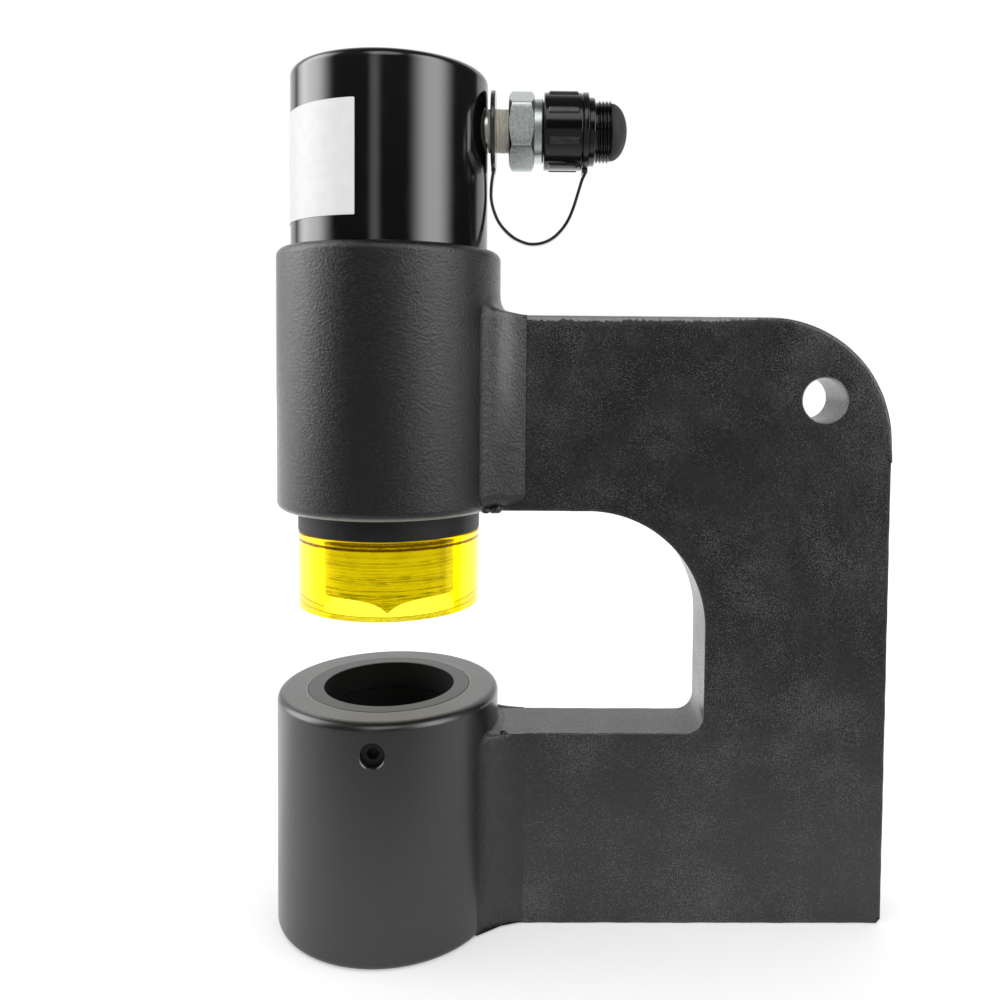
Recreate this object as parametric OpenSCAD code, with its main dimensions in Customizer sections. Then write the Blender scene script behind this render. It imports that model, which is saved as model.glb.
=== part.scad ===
// Hydraulic hole punch: a C-shaped steel frame with a spring return cylinder, a round
// punch with a clear stripper ring, a die in the lower column and a capped hose coupler.
// The punch axis is the Z axis, the frame stands on z = 0 and its back runs towards +X.

/* [Frame plate] */
// Thickness of the flame cut plate
plate_t = 32; // [24:0.5:44]
// Distance from the punch axis to the throat's back wall
throat_depth = 145; // [120:1:180]
// Height of the throat's floor
throat_floor = 88.5; // [80:0.5:96]
// Height of the plate above the throat
arm_h = 88; // [76:1:96]
// Radius of the throat's upper corner
throat_r = 53.5; // [20:0.5:60]
// Radius of the throat's lower corner
throat_low_r = 8.5; // [3:0.5:20]
// Width of the plate behind the throat
back_w = 83; // [70:1:110]
// Radius of the plate's outer upper corner
outer_r = 56.5; // [30:0.5:62]
// Depth of the small ledge left by the torch in the back edge
ledge = 0.5; // [0.2:0.1:1]
// Distance of that ledge below the plate's top
ledge_down = 65; // [62:1:120]
// Chamfer at the plate's lower back corner
foot_chamfer = 2; // [1:0.5:5]
// Diameter of the hanging hole
hang_d = 20; // [12:0.5:26]
// Distance of the hanging hole from the back edge
hang_in = 30.5; // [26:0.5:45]
// Distance of the hanging hole from the plate's top
hang_down = 37; // [28:0.5:48]
// Chamfer around the hanging hole
hang_chamfer = 0.7; // [0.3:0.1:1.5]

/* [Housing and column] */
// Wall of the upper housing around the cylinder, the lower column has the same diameter
housing_wall = 6.25; // [4.5:0.25:10]
// Height of the upper housing
housing_h = 117; // [105:1:135]
// Rounding of the housing's edges
housing_round = 3.5; // [1:0.5:4]
// Height of the lip that the cylinder rests on
lip_h = 22; // [19:0.5:30]
// Width of the seat on that lip
lip_w = 2; // [1:0.5:3]
// Height of the lower column above the throat's floor
column_up = 17.5; // [12:0.5:24]
// Rounding of the column's upper and lower edges
column_round = 3; // [1:0.5:4]
// Clearance of the slugs in the passage below the die, on the radius
slug_gap = 2; // [1:0.5:3]
// Leg of the weld that joins the plate's top edge to the housing
weld_leg = 10; // [6:0.5:11]
// Leg of the weld that joins the throat's floor to the column
floor_leg = 3.5; // [2:0.5:6]
// Radius of the hollow weld seams along the plate's faces
seam_r = 24; // [14:1:28]
// Blunt thickness of a weld's toe
weld_toe = 0.4; // [0.2:0.1:1]
// Height of the lower weld's end above the column's foot
weld_up = 1; // [0.5:0.5:4]

/* [Cylinder] */
// Bore of the cylinder barrel
bore_d = 68; // [66:0.5:74]
// Wall of the cylinder barrel
barrel_wall = 10.5; // [10:0.5:13]
// Thickness of the barrel's closed end
barrel_end_t = 12.5; // [10:0.5:15]
// Rounding of the barrel's top edge
barrel_round = 4; // [2:0.5:5]
// Height of the hose port's edge above the piston
port_over = 1; // [0.5:0.5:4]
// Height of the bore above the hose port's edge
port_under = 2; // [1:0.5:4]
// Height of the gland that closes the barrel
gland_h = 24; // [20:1:28]
// Height of the wiper seat in the gland
wiper_h = 4; // [3:0.5:5]
// Thickness of the guide bush's wall
bush_t = 3.5; // [2.5:0.5:4]
// Wire of the return spring
spring_wire = 6; // [4:0.5:6]
// Turns of the return spring
spring_turns = 7; // [5:0.5:7]
// Spare length of the return spring at full stroke
spring_spare = 3.9; // [2:0.1:10]
// Height of the label
label_h = 48; // [30:1:50]
// Height of the label's lower edge above the housing
label_up = 10.5; // [8:1:16]
// Angle that the label covers
label_angle = 104; // [60:1:120]
// Angle of the label's right edge
label_end = 259; // [230:1:262]
// Thickness of the label
label_t = 0.3; // [0.2:0.1:0.5]

/* [Ram and punch] */
// Stroke of the ram
stroke = 48; // [36:1:60]
// Thickness of the piston
piston_h = 22; // [20:0.5:24]
// Diameter of the stop boss on the piston
boss_d = 30; // [20:1:40]
// Width of the space for the return spring between the rod and the bore
spring_room = 11.5; // [9.5:0.5:14]
// Diameter of the rod's spigot
spigot_d = 36; // [30:1:38]
// Clearance of the punch holder in the housing, on the radius
holder_gap = 1; // [0.5:0.5:2]
// Height of the punch holder
holder_h = 16; // [14:0.5:18]
// Height of the punch holder that stands inside the housing
holder_in = 6.2; // [4:0.1:10]
// Diameter of the punched hole, which is the bore of the die
die_bore = 60; // [56:0.5:61]
// Clearance between the punch and the die, on the radius
punch_gap = 0.5; // [0.3:0.1:0.8]
// Depth of the punch's ridge inside the stripper ring
punch_in = 1.3; // [0.5:0.1:4]
// Rise of the punch's roof shaped end from its ridge to its sides
roof_rise = 6; // [3:0.5:8]
// Height of the stripper ring
ring_h = 34; // [30:0.5:40]
// Clearance between the stripper ring and the punch, on the radius
ring_gap = 0.5; // [0.3:0.1:0.6]
// Squeeze of the stripper ring at full stroke, without a sheet on the die
ring_squeeze = 7.8; // [4:0.1:9]
// Diameter of the punch screw's thread
punch_screw_d = 12; // [8:1:14]
// Depth of the punch screw's seat above the punch's ridge
screw_sink = 14.5; // [12:0.5:18]

/* [Die and lock screw] */
// Wall of the die
die_wall = 7.2; // [6:0.1:9]
// Height of the die
die_h = 30; // [24:0.5:34]
// Height of the die's cutting land
die_land = 12; // [5:0.5:14]
// Relief below the cutting land, on the radius
die_relief = 1; // [0.5:0.1:1.5]
// Diameter of the lock screw
lock_d = 10; // [8:0.5:11]
// Depth of the lock screw's axis below the column's top
lock_down = 13.8; // [12:0.1:16]
// Length of the lock screw
lock_len = 6; // [5:0.5:6.5]
// Length of the pad in front of the lock screw
pad_len = 5; // [4:0.5:5.5]
// Depth of the groove around the die that the pad grips
die_groove = 1.5; // [1:0.1:2.5]

/* [Hose coupler] */
// Diameter of the coupler's shank
shank_d = 19; // [17:0.5:20]
// Depth of the shank in the barrel's wall
shank_in = 9.5; // [8:0.5:10]
// Length of the shank that shows
shank_out = 9.8; // [8:0.1:14]
// Thickness of the thread tape
tape_t = 0.4; // [0.2:0.1:0.6]
// Width of the hexagon across its flats
hex_af = 32; // [27:0.5:34]
// Length of the hexagon
hex_l = 11.5; // [8:0.5:14]
// Diameter of the collar behind the hexagon
collar_d = 28.8; // [27.5:0.1:30]
// Length of that collar
collar_l = 4; // [3:0.5:6]
// Diameter of the thread under the cap
thread_d = 27; // [25:0.5:28]
// Length of the thread under the cap
thread_l = 17; // [12:0.5:18]
// Diameter of the coupler's nose
nose_d = 19; // [17:0.5:21]
// Length of the coupler's nose
nose_l = 5; // [4:0.5:7]
// Bore of the coupler
passage_d = 12; // [10:0.5:12.5]
// Diameter of the valve's seat hole
seat_d = 8; // [7:0.5:9]
// Travel of the valve
valve_travel = 3; // [2:0.1:3.2]
// Wire of the valve's spring
valve_wire = 0.8; // [0.5:0.1:1]
// Turns of the valve's spring
valve_turns = 5; // [4:0.5:5]
// Spare length of the valve's spring when it is pushed in
valve_spare = 4.4; // [1:0.1:4.6]

/* [Dust cap and tether] */
// Wall of the cap's sleeve
cap_wall = 3.5; // [2.6:0.1:5]
// Number of grip ribs on the sleeve
cap_ribs = 8; // [4:1:16]
// Width of a grip rib
rib_w = 2.6; // [1:0.2:4]
// Height of a grip rib
rib_h = 0.5; // [0.3:0.1:1]
// Wall of the cap at the groove that holds the tether's ring
cap_neck_wall = 0.8; // [0.6:0.1:1.6]
// Height of the cap's shoulder over that groove
shoulder_up = 0.7; // [0.5:0.1:1.6]
// Diameter of the cap's outer thread
cap_thread_d = 27.8; // [25:0.2:29]
// Length of the cap's outer thread
cap_thread_l = 5.2; // [4:0.2:9]
// Depth of the rubber bulb's dome
bulb_l = 7.7; // [5:0.1:12]
// Diameter of the bulb's stem
bulb_stem_d = 16; // [10:0.5:18]
// Width of the tether's ring on the shank
neck_ring_w = 7.8; // [4:0.2:8]
// Thickness of the tether's ring on the shank
neck_ring_t = 2; // [1.5:0.1:2.4]
// Width of the tether's ring on the cap
cap_ring_w = 2.7; // [2:0.1:3.2]
// Width of the tether's strap
strap_w = 6; // [4:0.5:8]
// Thickness of the tether's strap
strap_t = 1.4; // [1:0.1:1.6]

/* [Fits] */
// Running clearance of sliding and turning parts, on the radius
run_gap = 0.05; // [0.02:0.01:0.08]
// Clearance of fixed parts that seat in each other, on the radius
seat_gap = 0.05; // [0.02:0.01:0.1]
// Clearance between loose parts
loose_gap = 0.3; // [0.3:0.1:0.5]

/* [Hidden] */
$fn = 96;
cut = 1;
paint = "#2b2c2e";
gloss_black = "#1b1b1d";
steel = "#a9adb0";

// Tubes, from the cylinder's bore outwards
bore_r = bore_d / 2;
barrel_r = bore_r + barrel_wall;
housing_r = barrel_r + housing_wall;
column_r = housing_r;
lip_r = barrel_r - lip_w;
holder_r = lip_r - holder_gap;

// Lower column and die
column_h = throat_floor + column_up;
slug_r = die_bore / 2 + die_relief + slug_gap;
die_r = die_bore / 2 + die_wall;
die_z = column_h - die_h;
groove_r = die_r - die_groove;

// Punch and stripper ring, as far above the die as the stroke asks
ring_z = column_h + stroke - ring_squeeze;
holder_z = ring_z + ring_h;
shoulder_z = holder_z + holder_h;
punch_r = die_bore / 2 - punch_gap;
punch_z = ring_z + punch_in;
punch_len = holder_z - punch_z;
ring_r = punch_r + ring_gap;
screw_head_r = punch_screw_d * 0.75;
screw_seat_z = punch_z + screw_sink;
screw_head_z = screw_seat_z - punch_screw_d + 0.5;
screw_bite = 24;

// Frame plate, whose throat ends at the upper housing
housing_z = shoulder_z - holder_in;
throat_top = housing_z;
throat_h = throat_top - throat_floor;
plate_h = throat_top + arm_h;
plate_x = throat_depth + back_w;
ledge_z = plate_h - ledge_down;
hang_x = plate_x - hang_in;
hang_z = plate_h - hang_down;

// Cylinder, from its seat in the housing up to its closed top
housing_top = housing_z + housing_h;
barrel_z = housing_z + lip_h;
gland_top = barrel_z + gland_h;
rod_r = bore_r - spring_room;
bush_r = rod_r + run_gap + bush_t;
bush_z = barrel_z + wiper_h + 1;
bush_top = gland_top - 2;
wiper_r = bush_r + 1;
spring_r = (rod_r + bore_r) / 2;
spring_low = gland_top + seat_gap;
spring_high = spring_low + spring_wire * spring_turns + spring_spare + stroke;
piston_z = spring_high + seat_gap;
piston_top = piston_z + piston_h;
shank_r = shank_d / 2;
port_z = piston_top + port_over + shank_r;
bore_top = port_z + shank_r + port_under;
barrel_top = bore_top + barrel_end_t;

// Piston and its rings
piston_r = bore_r - run_gap;
seal_z = piston_z + 0.45 * piston_h;
seal_h = 4;
backup_h = 3;
seal_depth = 5;
wear_z = piston_z + 3;
wear_h = 4;
wear_depth = 2.5;
groove_side = 0.1;

// Lock screw and its pad, in front of the die
lock_z = column_h - lock_down;
pad_y = groove_r + loose_gap;
screw_y = pad_y + pad_len;

// Hose coupler, along +X from the barrel's wall
shank_x = barrel_r - shank_in;
hex_x = barrel_r + shank_out;
collar_x = hex_x + hex_l;
thread_x = collar_x + collar_l;
nose_x = thread_x + thread_l;
nose_end = nose_x + nose_l;
passage_r = passage_d / 2;
valve_seat_x = nose_end - 4;
poppet_r = passage_r - 0.6;
poppet_l = 3;
poppet_x = valve_seat_x - loose_gap - poppet_l;
valve_seal_t = 0.7;
stem_r = 1.8;
valve_spring_r = stem_r + 1.8;
valve_spring_high = poppet_x - seat_gap;
valve_spring_low = valve_spring_high - valve_wire * valve_turns - valve_spare - valve_travel;
valve_guide_t = 3;
valve_guide_x = valve_spring_low - seat_gap - valve_guide_t;
stem_x = valve_guide_x - 2;

// Dust cap and the tether's rings
cap_x = thread_x + loose_gap;
cap_bore_r = thread_d / 2 + loose_gap;
cap_r = cap_bore_r + cap_wall;
cap_groove_r = cap_bore_r + cap_neck_wall;
shoulder_r = cap_groove_r + shoulder_up;
cap_step_x = nose_x + loose_gap;
cap_groove_x = cap_step_x + 0.2;
cap_ring_t = 2.6;
cap_groove_end = cap_groove_x + cap_ring_t + 2 * loose_gap;
cap_floor_x = nose_end + loose_gap;
shoulder_end = cap_floor_x + 1.9;
neck_end = shoulder_end + 1.3;
cap_end = neck_end + cap_thread_l;
bulb_seat_x = shoulder_end + 0.5;
cap_ring_x = cap_groove_x + loose_gap;
neck_ring_x = barrel_r + 1.7;

// Route of the tether's strap as [x, z], from the shank's ring to the cap's ring, measured
// from the hose port's axis and the barrel's wall
strap_route = [
    [2.7, -19], [2.2, -22], [1.8, -26], [1.8, -31], [2.9, -36], [5, -41], [8, -45], [12, -48.5],
    [16, -50.5], [20, -51.5], [25, -51], [29.5, -49], [33.5, -45.5], [37, -40.5], [39.5, -34.5],
    [41.5, -28], [43.3, -22], [44.7, -19]
];
lug_z = port_z + strap_route[0][1];

// Points of a circular arc in a profile
function arc(cx, cy, r, from, to, steps = 8) =
    [for (i = [0 : steps]) let (a = from + (to - from) * i / steps) [cx + r * cos(a), cy + r * sin(a)]];

// A solid turned about the Z axis from a profile of [radius, height]
module turned(profile) {
    rotate_extrude() polygon(profile);
}

// The same, turned about an axis along +X at the hose port's height
module turned_x(profile) {
    translate([0, 0, port_z])
        rotate([0, 90, 0])
            rotate_extrude() polygon(profile);
}

// A ring between two radii and two heights
module ring(r_in, r_out, low, high) {
    turned([[r_in, low], [r_out, low], [r_out, high], [r_in, high]]);
}

// A closed skin over rings of points, with flat ends
module skin(rings) {
    count = len(rings);
    sides = len(rings[0]);
    points = [for (ring_points = rings) each ring_points];
    walls = [for (i = [0 : count - 2], j = [0 : sides - 1])
        let (k = (j + 1) % sides)
        each [
            [i * sides + j, i * sides + k, (i + 1) * sides + k],
            [i * sides + j, (i + 1) * sides + k, (i + 1) * sides + j]
        ]];
    near_end = [[for (j = [sides - 1 : -1 : 0]) j]];
    far_end = [[for (j = [0 : sides - 1]) (count - 1) * sides + j]];
    polyhedron(points, concat(walls, near_end, far_end), convexity = 10);
}

// A corner that is left square by a rounded outline, at the outline's corner centre
module spare_corner(r, quarter) {
    rotate(quarter * 90)
        difference() {
            square(r + cut);
            circle(r);
        }
}

// The throat as a flat outline, open towards the tubes
module throat_outline() {
    difference() {
        translate([0, throat_floor]) square([throat_depth, throat_h]);
        translate([throat_depth - throat_r, throat_top - throat_r]) spare_corner(throat_r, 0);
        translate([throat_depth - throat_low_r, throat_floor + throat_low_r]) spare_corner(throat_low_r, 3);
    }
}

// The plate as a flat outline in X and Z
module plate_outline() {
    difference() {
        square([plate_x + ledge, plate_h]);
        throat_outline();
        translate([plate_x + ledge - outer_r, plate_h - outer_r]) spare_corner(outer_r, 0);
        translate([plate_x, -cut]) square([ledge + cut, ledge_z + cut]);
        polygon([
            [plate_x - foot_chamfer, -cut], [plate_x + ledge + cut, -cut],
            [plate_x + ledge + cut, foot_chamfer], [plate_x, foot_chamfer], [plate_x - foot_chamfer, 0]
        ]);
        translate([-cut, throat_top - cut]) square([1.5 * cut, 2 * cut]);
    }
}

// Room for a tube between two heights, where the plate and the welds meet it
module tube_room(r, low, high) {
    translate([0, 0, low - cut]) cylinder(h = high - low + 2 * cut, r = r + seat_gap);
}

module frame_plate() {
    color(paint)
    difference() {
        rotate([90, 0, 0])
            linear_extrude(plate_t, center = true) plate_outline();
        tube_room(housing_r, housing_z, plate_h);
        tube_room(column_r, 0, throat_floor);
        translate([hang_x, 0, hang_z]) rotate([90, 0, 0])
            turned([
                [0, -plate_t / 2 - cut],
                [hang_d / 2 + hang_chamfer + cut, -plate_t / 2 - cut],
                [hang_d / 2, -plate_t / 2 + hang_chamfer],
                [hang_d / 2, plate_t / 2 - hang_chamfer],
                [hang_d / 2 + hang_chamfer + cut, plate_t / 2 + cut],
                [0, plate_t / 2 + cut]
            ]);
    }
}

module upper_housing() {
    color(paint)
    turned(concat(
        [[lip_r, housing_z]],
        arc(housing_r - housing_round, housing_z + housing_round, housing_round, -90, 0),
        arc(housing_r - housing_round, housing_top - housing_round, housing_round, 0, 90),
        [
            [barrel_r + seat_gap, housing_top],
            [barrel_r + seat_gap, barrel_z],
            [lip_r, barrel_z]
        ]
    ));
}

module die_column() {
    color(paint)
    difference() {
        turned(concat(
            [[slug_r, 0]],
            arc(column_r - column_round, column_round, column_round, -90, 0),
            arc(column_r - column_round, column_h - column_round, column_round, 0, 90),
            [
                [die_r + seat_gap, column_h],
                [die_r + seat_gap, die_z],
                [slug_r, die_z]
            ]
        ));
        translate([0, 0, lock_z]) rotate([90, 0, 0])
            translate([0, 0, slug_r]) cylinder(h = column_r, d = lock_d + 2 * run_gap);
        translate([0, 0, lock_z]) rotate([90, 0, 0])
            translate([0, 0, column_r - 0.8]) cylinder(h = 2, d1 = lock_d, d2 = lock_d + 4);
    }
}

// The hollow seam between a tube and one face of the plate, seen from above
module seam_outline(r) {
    reach = plate_t / 2 + seam_r;
    seam_x = sqrt(pow(r + seam_r, 2) - pow(reach, 2));
    difference() {
        polygon([
            [seam_x, -plate_t / 2], [seam_x, -reach], [seam_x * plate_t / 2 / reach, -plate_t / 2]
        ]);
        circle(r + seat_gap);
        translate([seam_x + weld_toe, -reach - weld_toe]) circle(seam_r);
    }
}

// The hollow weld on the plate's upper edge, seen from the side
module edge_weld_outline(r, leg) {
    difference() {
        translate([r - seam_r, 0]) square([seam_r + leg, leg]);
        translate([r + leg + weld_toe, leg + weld_toe]) circle(leg);
    }
}

// The weld around the plate's end, where it meets a tube of this radius between two heights
module tube_weld(r, low, high, leg) {
    difference() {
        union() {
            for (side = [0, 1])
                mirror([0, side, 0])
                    translate([0, 0, low])
                        linear_extrude(high - low + leg / 3) seam_outline(r);
            translate([0, 0, high]) rotate([90, 0, 0])
                linear_extrude(plate_t + leg, center = true) edge_weld_outline(r, leg);
        }
        tube_room(r, low, high + leg);
    }
}

module upper_weld() {
    color(paint) tube_weld(housing_r, housing_z + housing_round, plate_h, weld_leg);
}

module lower_weld() {
    color(paint) tube_weld(column_r, weld_up, throat_floor, floor_leg);
}

module cylinder_barrel() {
    color(gloss_black)
    difference() {
        turned(concat(
            [[bore_r, barrel_z], [barrel_r - 1, barrel_z], [barrel_r, barrel_z + 1]],
            arc(barrel_r - barrel_round, barrel_top - barrel_round, barrel_round, 0, 90),
            [[0, barrel_top], [0, bore_top], [bore_r, bore_top]]
        ));
        translate([bore_r / 2, 0, port_z]) rotate([0, 90, 0])
            cylinder(h = barrel_r, r = shank_r + seat_gap);
    }
}

module blank_label() {
    color("white")
    rotate(label_end - label_angle)
        rotate_extrude(angle = label_angle)
            translate([barrel_r + seat_gap, housing_top + label_up]) square([label_t, label_h]);
}

module gland() {
    color(steel)
    turned([
        [rod_r + 0.5, barrel_z], [bore_r - seat_gap, barrel_z],
        [bore_r - seat_gap, gland_top], [bush_r + seat_gap, gland_top],
        [bush_r + seat_gap, bush_z], [wiper_r + seat_gap, bush_z],
        [wiper_r + seat_gap, barrel_z + 1], [rod_r + 0.5, barrel_z + 1]
    ]);
}

module guide_bush() {
    color("#b08d4f") ring(rod_r + run_gap, bush_r, bush_z + 0.1, bush_top);
}

module rod_wiper() {
    color("#3a6ea5") ring(rod_r + run_gap, wiper_r, barrel_z + 1 + 0.1, bush_z - 0.1);
}

module ram() {
    groove_r_seal = piston_r - seal_depth;
    groove_r_wear = piston_r - wear_depth;
    seal_end = seal_z + seal_h + backup_h;
    color(steel)
    turned([
        [0, holder_z + screw_bite], [punch_screw_d / 2 + seat_gap, holder_z + screw_bite],
        [punch_screw_d / 2 + seat_gap, holder_z], [spigot_d / 2, holder_z],
        [spigot_d / 2, shoulder_z], [rod_r, shoulder_z], [rod_r, piston_z],
        [piston_r - 1, piston_z], [piston_r, piston_z + 1],
        [piston_r, wear_z], [groove_r_wear, wear_z],
        [groove_r_wear, wear_z + wear_h], [piston_r, wear_z + wear_h],
        [piston_r, seal_z], [groove_r_seal, seal_z],
        [groove_r_seal, seal_end], [piston_r, seal_end],
        [piston_r, piston_top - 1], [piston_r - 1, piston_top],
        [boss_d / 2, piston_top], [boss_d / 2, bore_top - loose_gap - 1],
        [boss_d / 2 - 1, bore_top - loose_gap], [0, bore_top - loose_gap]
    ]);
}

// A ring in one of the piston's grooves, which slides in the barrel's bore
module piston_ring(depth, low, high) {
    ring(piston_r - depth + 0.02, bore_r - 0.02, low + groove_side, high - groove_side);
}

module piston_seal() {
    color("#b23a2e") piston_ring(seal_depth, seal_z, seal_z + seal_h);
}

module backup_ring() {
    color("#e8e4d8") piston_ring(seal_depth, seal_z + seal_h, seal_z + seal_h + backup_h);
}

module wear_ring() {
    color("#7a5a36") piston_ring(wear_depth, wear_z, wear_z + wear_h);
}

// Coil springs: a wire of six sides wound about an axis, eight rings a turn, with one closer
// turn at each end and even turns between
end_turn_gap = 0.5;
function coil_pitch(wire, turns, length) = (length - wire - 2 * (wire + end_turn_gap)) / (turns - 2);
function coil_height(t, wire, turns, length) =
    let (closed = wire + end_turn_gap, open = coil_pitch(wire, turns, length))
    wire / 2 + closed * min(t, 1) + open * max(0, min(t, turns - 1) - 1) + closed * max(0, t - turns + 1);
function coil_rings(r, wire, turns, length) =
    [for (i = [0 : turns * 8])
        let (t = i / 8, h = coil_height(t, wire, turns, length))
        [for (j = [0 : 5])
            let (q = r + wire / 2 * cos(j * 60 + 30), a = t * 360)
            [q * cos(a), q * sin(a), h + wire / 2 * sin(j * 60 + 30)]]];
function coil_points_gap(rings, wire) =
    min([for (i = [0 : len(rings) - 9]) norm(rings[i + 8][0] - rings[i][0])]) - wire;

echo(return_spring_gap = coil_points_gap(return_rings, spring_wire));
echo(return_spring_solid = spring_wire * spring_turns, room = spring_high - spring_low - stroke);
echo(valve_spring_gap = coil_points_gap(valve_rings, valve_wire));
echo(valve_spring_solid = valve_wire * valve_turns,
    room = valve_spring_high - valve_spring_low - valve_travel);

return_rings = coil_rings(spring_r, spring_wire, spring_turns, spring_high - spring_low);
valve_rings = coil_rings(valve_spring_r, valve_wire, valve_turns, valve_spring_high - valve_spring_low);

module return_spring() {
    color("#4d5257")
    translate([0, 0, spring_low]) skin(return_rings);
}

module punch_holder() {
    color(paint)
    turned([
        [spigot_d / 2 + seat_gap, holder_z], [holder_r - 1, holder_z], [holder_r, holder_z + 1],
        [holder_r, shoulder_z - 1.5], [holder_r - 1.5, shoulder_z], [spigot_d / 2 + seat_gap, shoulder_z]
    ]);
}

module punch() {
    slope = roof_rise / punch_r;
    wide = 1.2 * punch_r;
    color(steel)
    difference() {
        translate([0, 0, punch_z - cut]) cylinder(h = punch_len + cut, r = punch_r);
        rotate([90, 0, 0])
            linear_extrude(2 * wide, center = true)
                polygon([
                    [-wide, punch_z - 2 * cut], [wide, punch_z - 2 * cut], [wide, punch_z + wide * slope],
                    [0, punch_z], [-wide, punch_z + wide * slope]
                ]);
        translate([0, 0, punch_z - 2 * cut])
            cylinder(h = screw_seat_z - punch_z + 2 * cut, r = screw_head_r + loose_gap);
        translate([0, 0, screw_seat_z - cut])
            cylinder(h = punch_len + 2 * cut, d = punch_screw_d + 2 * loose_gap);
    }
}

module punch_screw() {
    color("#3b3d40")
    difference() {
        turned([
            [0, screw_head_z], [screw_head_r - 0.8, screw_head_z], [screw_head_r, screw_head_z + 0.8],
            [screw_head_r, screw_seat_z], [punch_screw_d / 2, screw_seat_z],
            [punch_screw_d / 2, holder_z + screw_bite - 3], [0, holder_z + screw_bite - 3]
        ]);
        translate([0, 0, screw_head_z - cut])
            cylinder(h = punch_screw_d / 2 + cut, d = punch_screw_d * 0.96, $fn = 6);
    }
}

module stripper_ring() {
    color("#f2dc00")
    turned([
        [ring_r, ring_z], [holder_r - 1, ring_z], [holder_r, ring_z + 1],
        [holder_r, holder_z - 1.5], [holder_r - 1, holder_z], [ring_r, holder_z]
    ]);
}

module die() {
    land_z = column_h - die_land;
    groove_h = lock_d / 2 + loose_gap;
    color(steel)
    turned([
        [die_bore / 2 + die_relief, die_z], [die_r - 1, die_z], [die_r, die_z + 1],
        [die_r, lock_z - groove_h], [groove_r, lock_z - groove_h],
        [groove_r, lock_z + groove_h], [die_r, lock_z + groove_h],
        [die_r, column_h - 0.6], [die_r - 0.6, column_h], [die_bore / 2, column_h],
        [die_bore / 2, land_z], [die_bore / 2 + die_relief, land_z - die_relief]
    ]);
}

// The lock screw's pad and the screw lie on a line that points out of the column, along -Y
module on_lock_axis() {
    translate([0, 0, lock_z]) rotate([90, 0, 0]) children();
}

module lock_pad() {
    color("#c9a24a")
    on_lock_axis()
        translate([0, 0, pad_y]) cylinder(h = pad_len, d = lock_d - 2 * run_gap);
}

module lock_screw() {
    color("#26272a")
    on_lock_axis()
        difference() {
            translate([0, 0, screw_y]) cylinder(h = lock_len, d = lock_d);
            translate([0, 0, screw_y + lock_len / 3]) cylinder(h = lock_len, d = lock_d * 0.58, $fn = 6);
        }
}

module coupler_nipple() {
    hex_r = hex_af / sqrt(3);
    bevel = 1.5;
    color("#c8cdd0")
    difference() {
        union() {
            turned_x([[0, shank_x], [shank_r - 1, shank_x], [shank_r, shank_x + 1],
                [shank_r, hex_x + cut], [0, hex_x + cut]]);
            intersection() {
                translate([hex_x, 0, port_z]) rotate([0, 90, 0])
                    cylinder(h = hex_l, r = hex_r, $fn = 6);
                turned_x([
                    [0, hex_x], [hex_r - 1.3 * bevel, hex_x], [hex_r + bevel, hex_x + bevel],
                    [hex_r + bevel, collar_x - bevel], [hex_r - 1.3 * bevel, collar_x], [0, collar_x]
                ]);
            }
            turned_x([
                [0, collar_x - cut], [collar_d / 2, collar_x - cut], [collar_d / 2, thread_x - 0.8],
                [collar_d / 2 - 0.8, thread_x], [thread_d / 2, thread_x],
                [thread_d / 2, nose_x - 1.5], [thread_d / 2 - 1.5, nose_x], [nose_d / 2, nose_x],
                [nose_d / 2, nose_end - 1], [nose_d / 2 - 1, nose_end], [0, nose_end]
            ]);
        }
        turned_x([
            [0, shank_x - cut], [passage_r, shank_x - cut], [passage_r, valve_seat_x],
            [seat_d / 2, valve_seat_x], [seat_d / 2, nose_end + cut], [0, nose_end + cut]
        ]);
    }
}

module thread_tape() {
    color("#e9e4d4")
    turned_x([
        [shank_r, barrel_r + 0.2], [shank_r + tape_t, barrel_r + 0.2],
        [shank_r + tape_t, hex_x - 0.1], [shank_r, hex_x - 0.1]
    ]);
}

module valve_poppet() {
    seal_r = (seat_d / 2 + poppet_r) / 2 - 0.2;
    color("#d8c070")
    turned_x([
        [0, stem_x], [stem_r, stem_x], [stem_r, poppet_x], [poppet_r, poppet_x],
        [poppet_r, poppet_x + poppet_l - valve_seal_t], [seal_r, poppet_x + poppet_l - valve_seal_t],
        [seal_r, poppet_x + poppet_l], [seat_d / 2 - 1, poppet_x + poppet_l],
        [seat_d / 2 - 1, nose_end - 0.5], [0, nose_end - 0.5]
    ]);
}

module valve_seal() {
    seal_r = (seat_d / 2 + poppet_r) / 2 - 0.2;
    low = poppet_x + poppet_l - valve_seal_t;
    color("#222222")
    turned_x([
        [seal_r + 0.02, low], [poppet_r, low],
        [poppet_r, valve_seat_x - 0.1], [seal_r + 0.02, valve_seat_x - 0.1]
    ]);
}

module valve_spring() {
    color("#8d9297")
    translate([valve_spring_low, 0, port_z]) rotate([0, 90, 0]) skin(valve_rings);
}

// A ring in the coupler's bore with three arms and a hub that guides the valve's stem
module valve_guide() {
    hub_r = stem_r + 2.2;
    color("#9a9da0")
    translate([valve_guide_x, 0, port_z]) rotate([0, 90, 0])
        difference() {
            union() {
                difference() {
                    cylinder(h = valve_guide_t, r = passage_r - seat_gap);
                    translate([0, 0, -cut]) cylinder(h = valve_guide_t + 2 * cut, r = passage_r - 0.9);
                }
                cylinder(h = valve_guide_t, r = hub_r);
                for (arm = [0 : 2])
                    rotate(arm * 120 + 60)
                        translate([0, -0.8, 0]) cube([passage_r - 0.4, 1.6, valve_guide_t]);
            }
            translate([0, 0, -cut]) cylinder(h = valve_guide_t + 2 * cut, r = stem_r + run_gap);
        }
}

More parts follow.
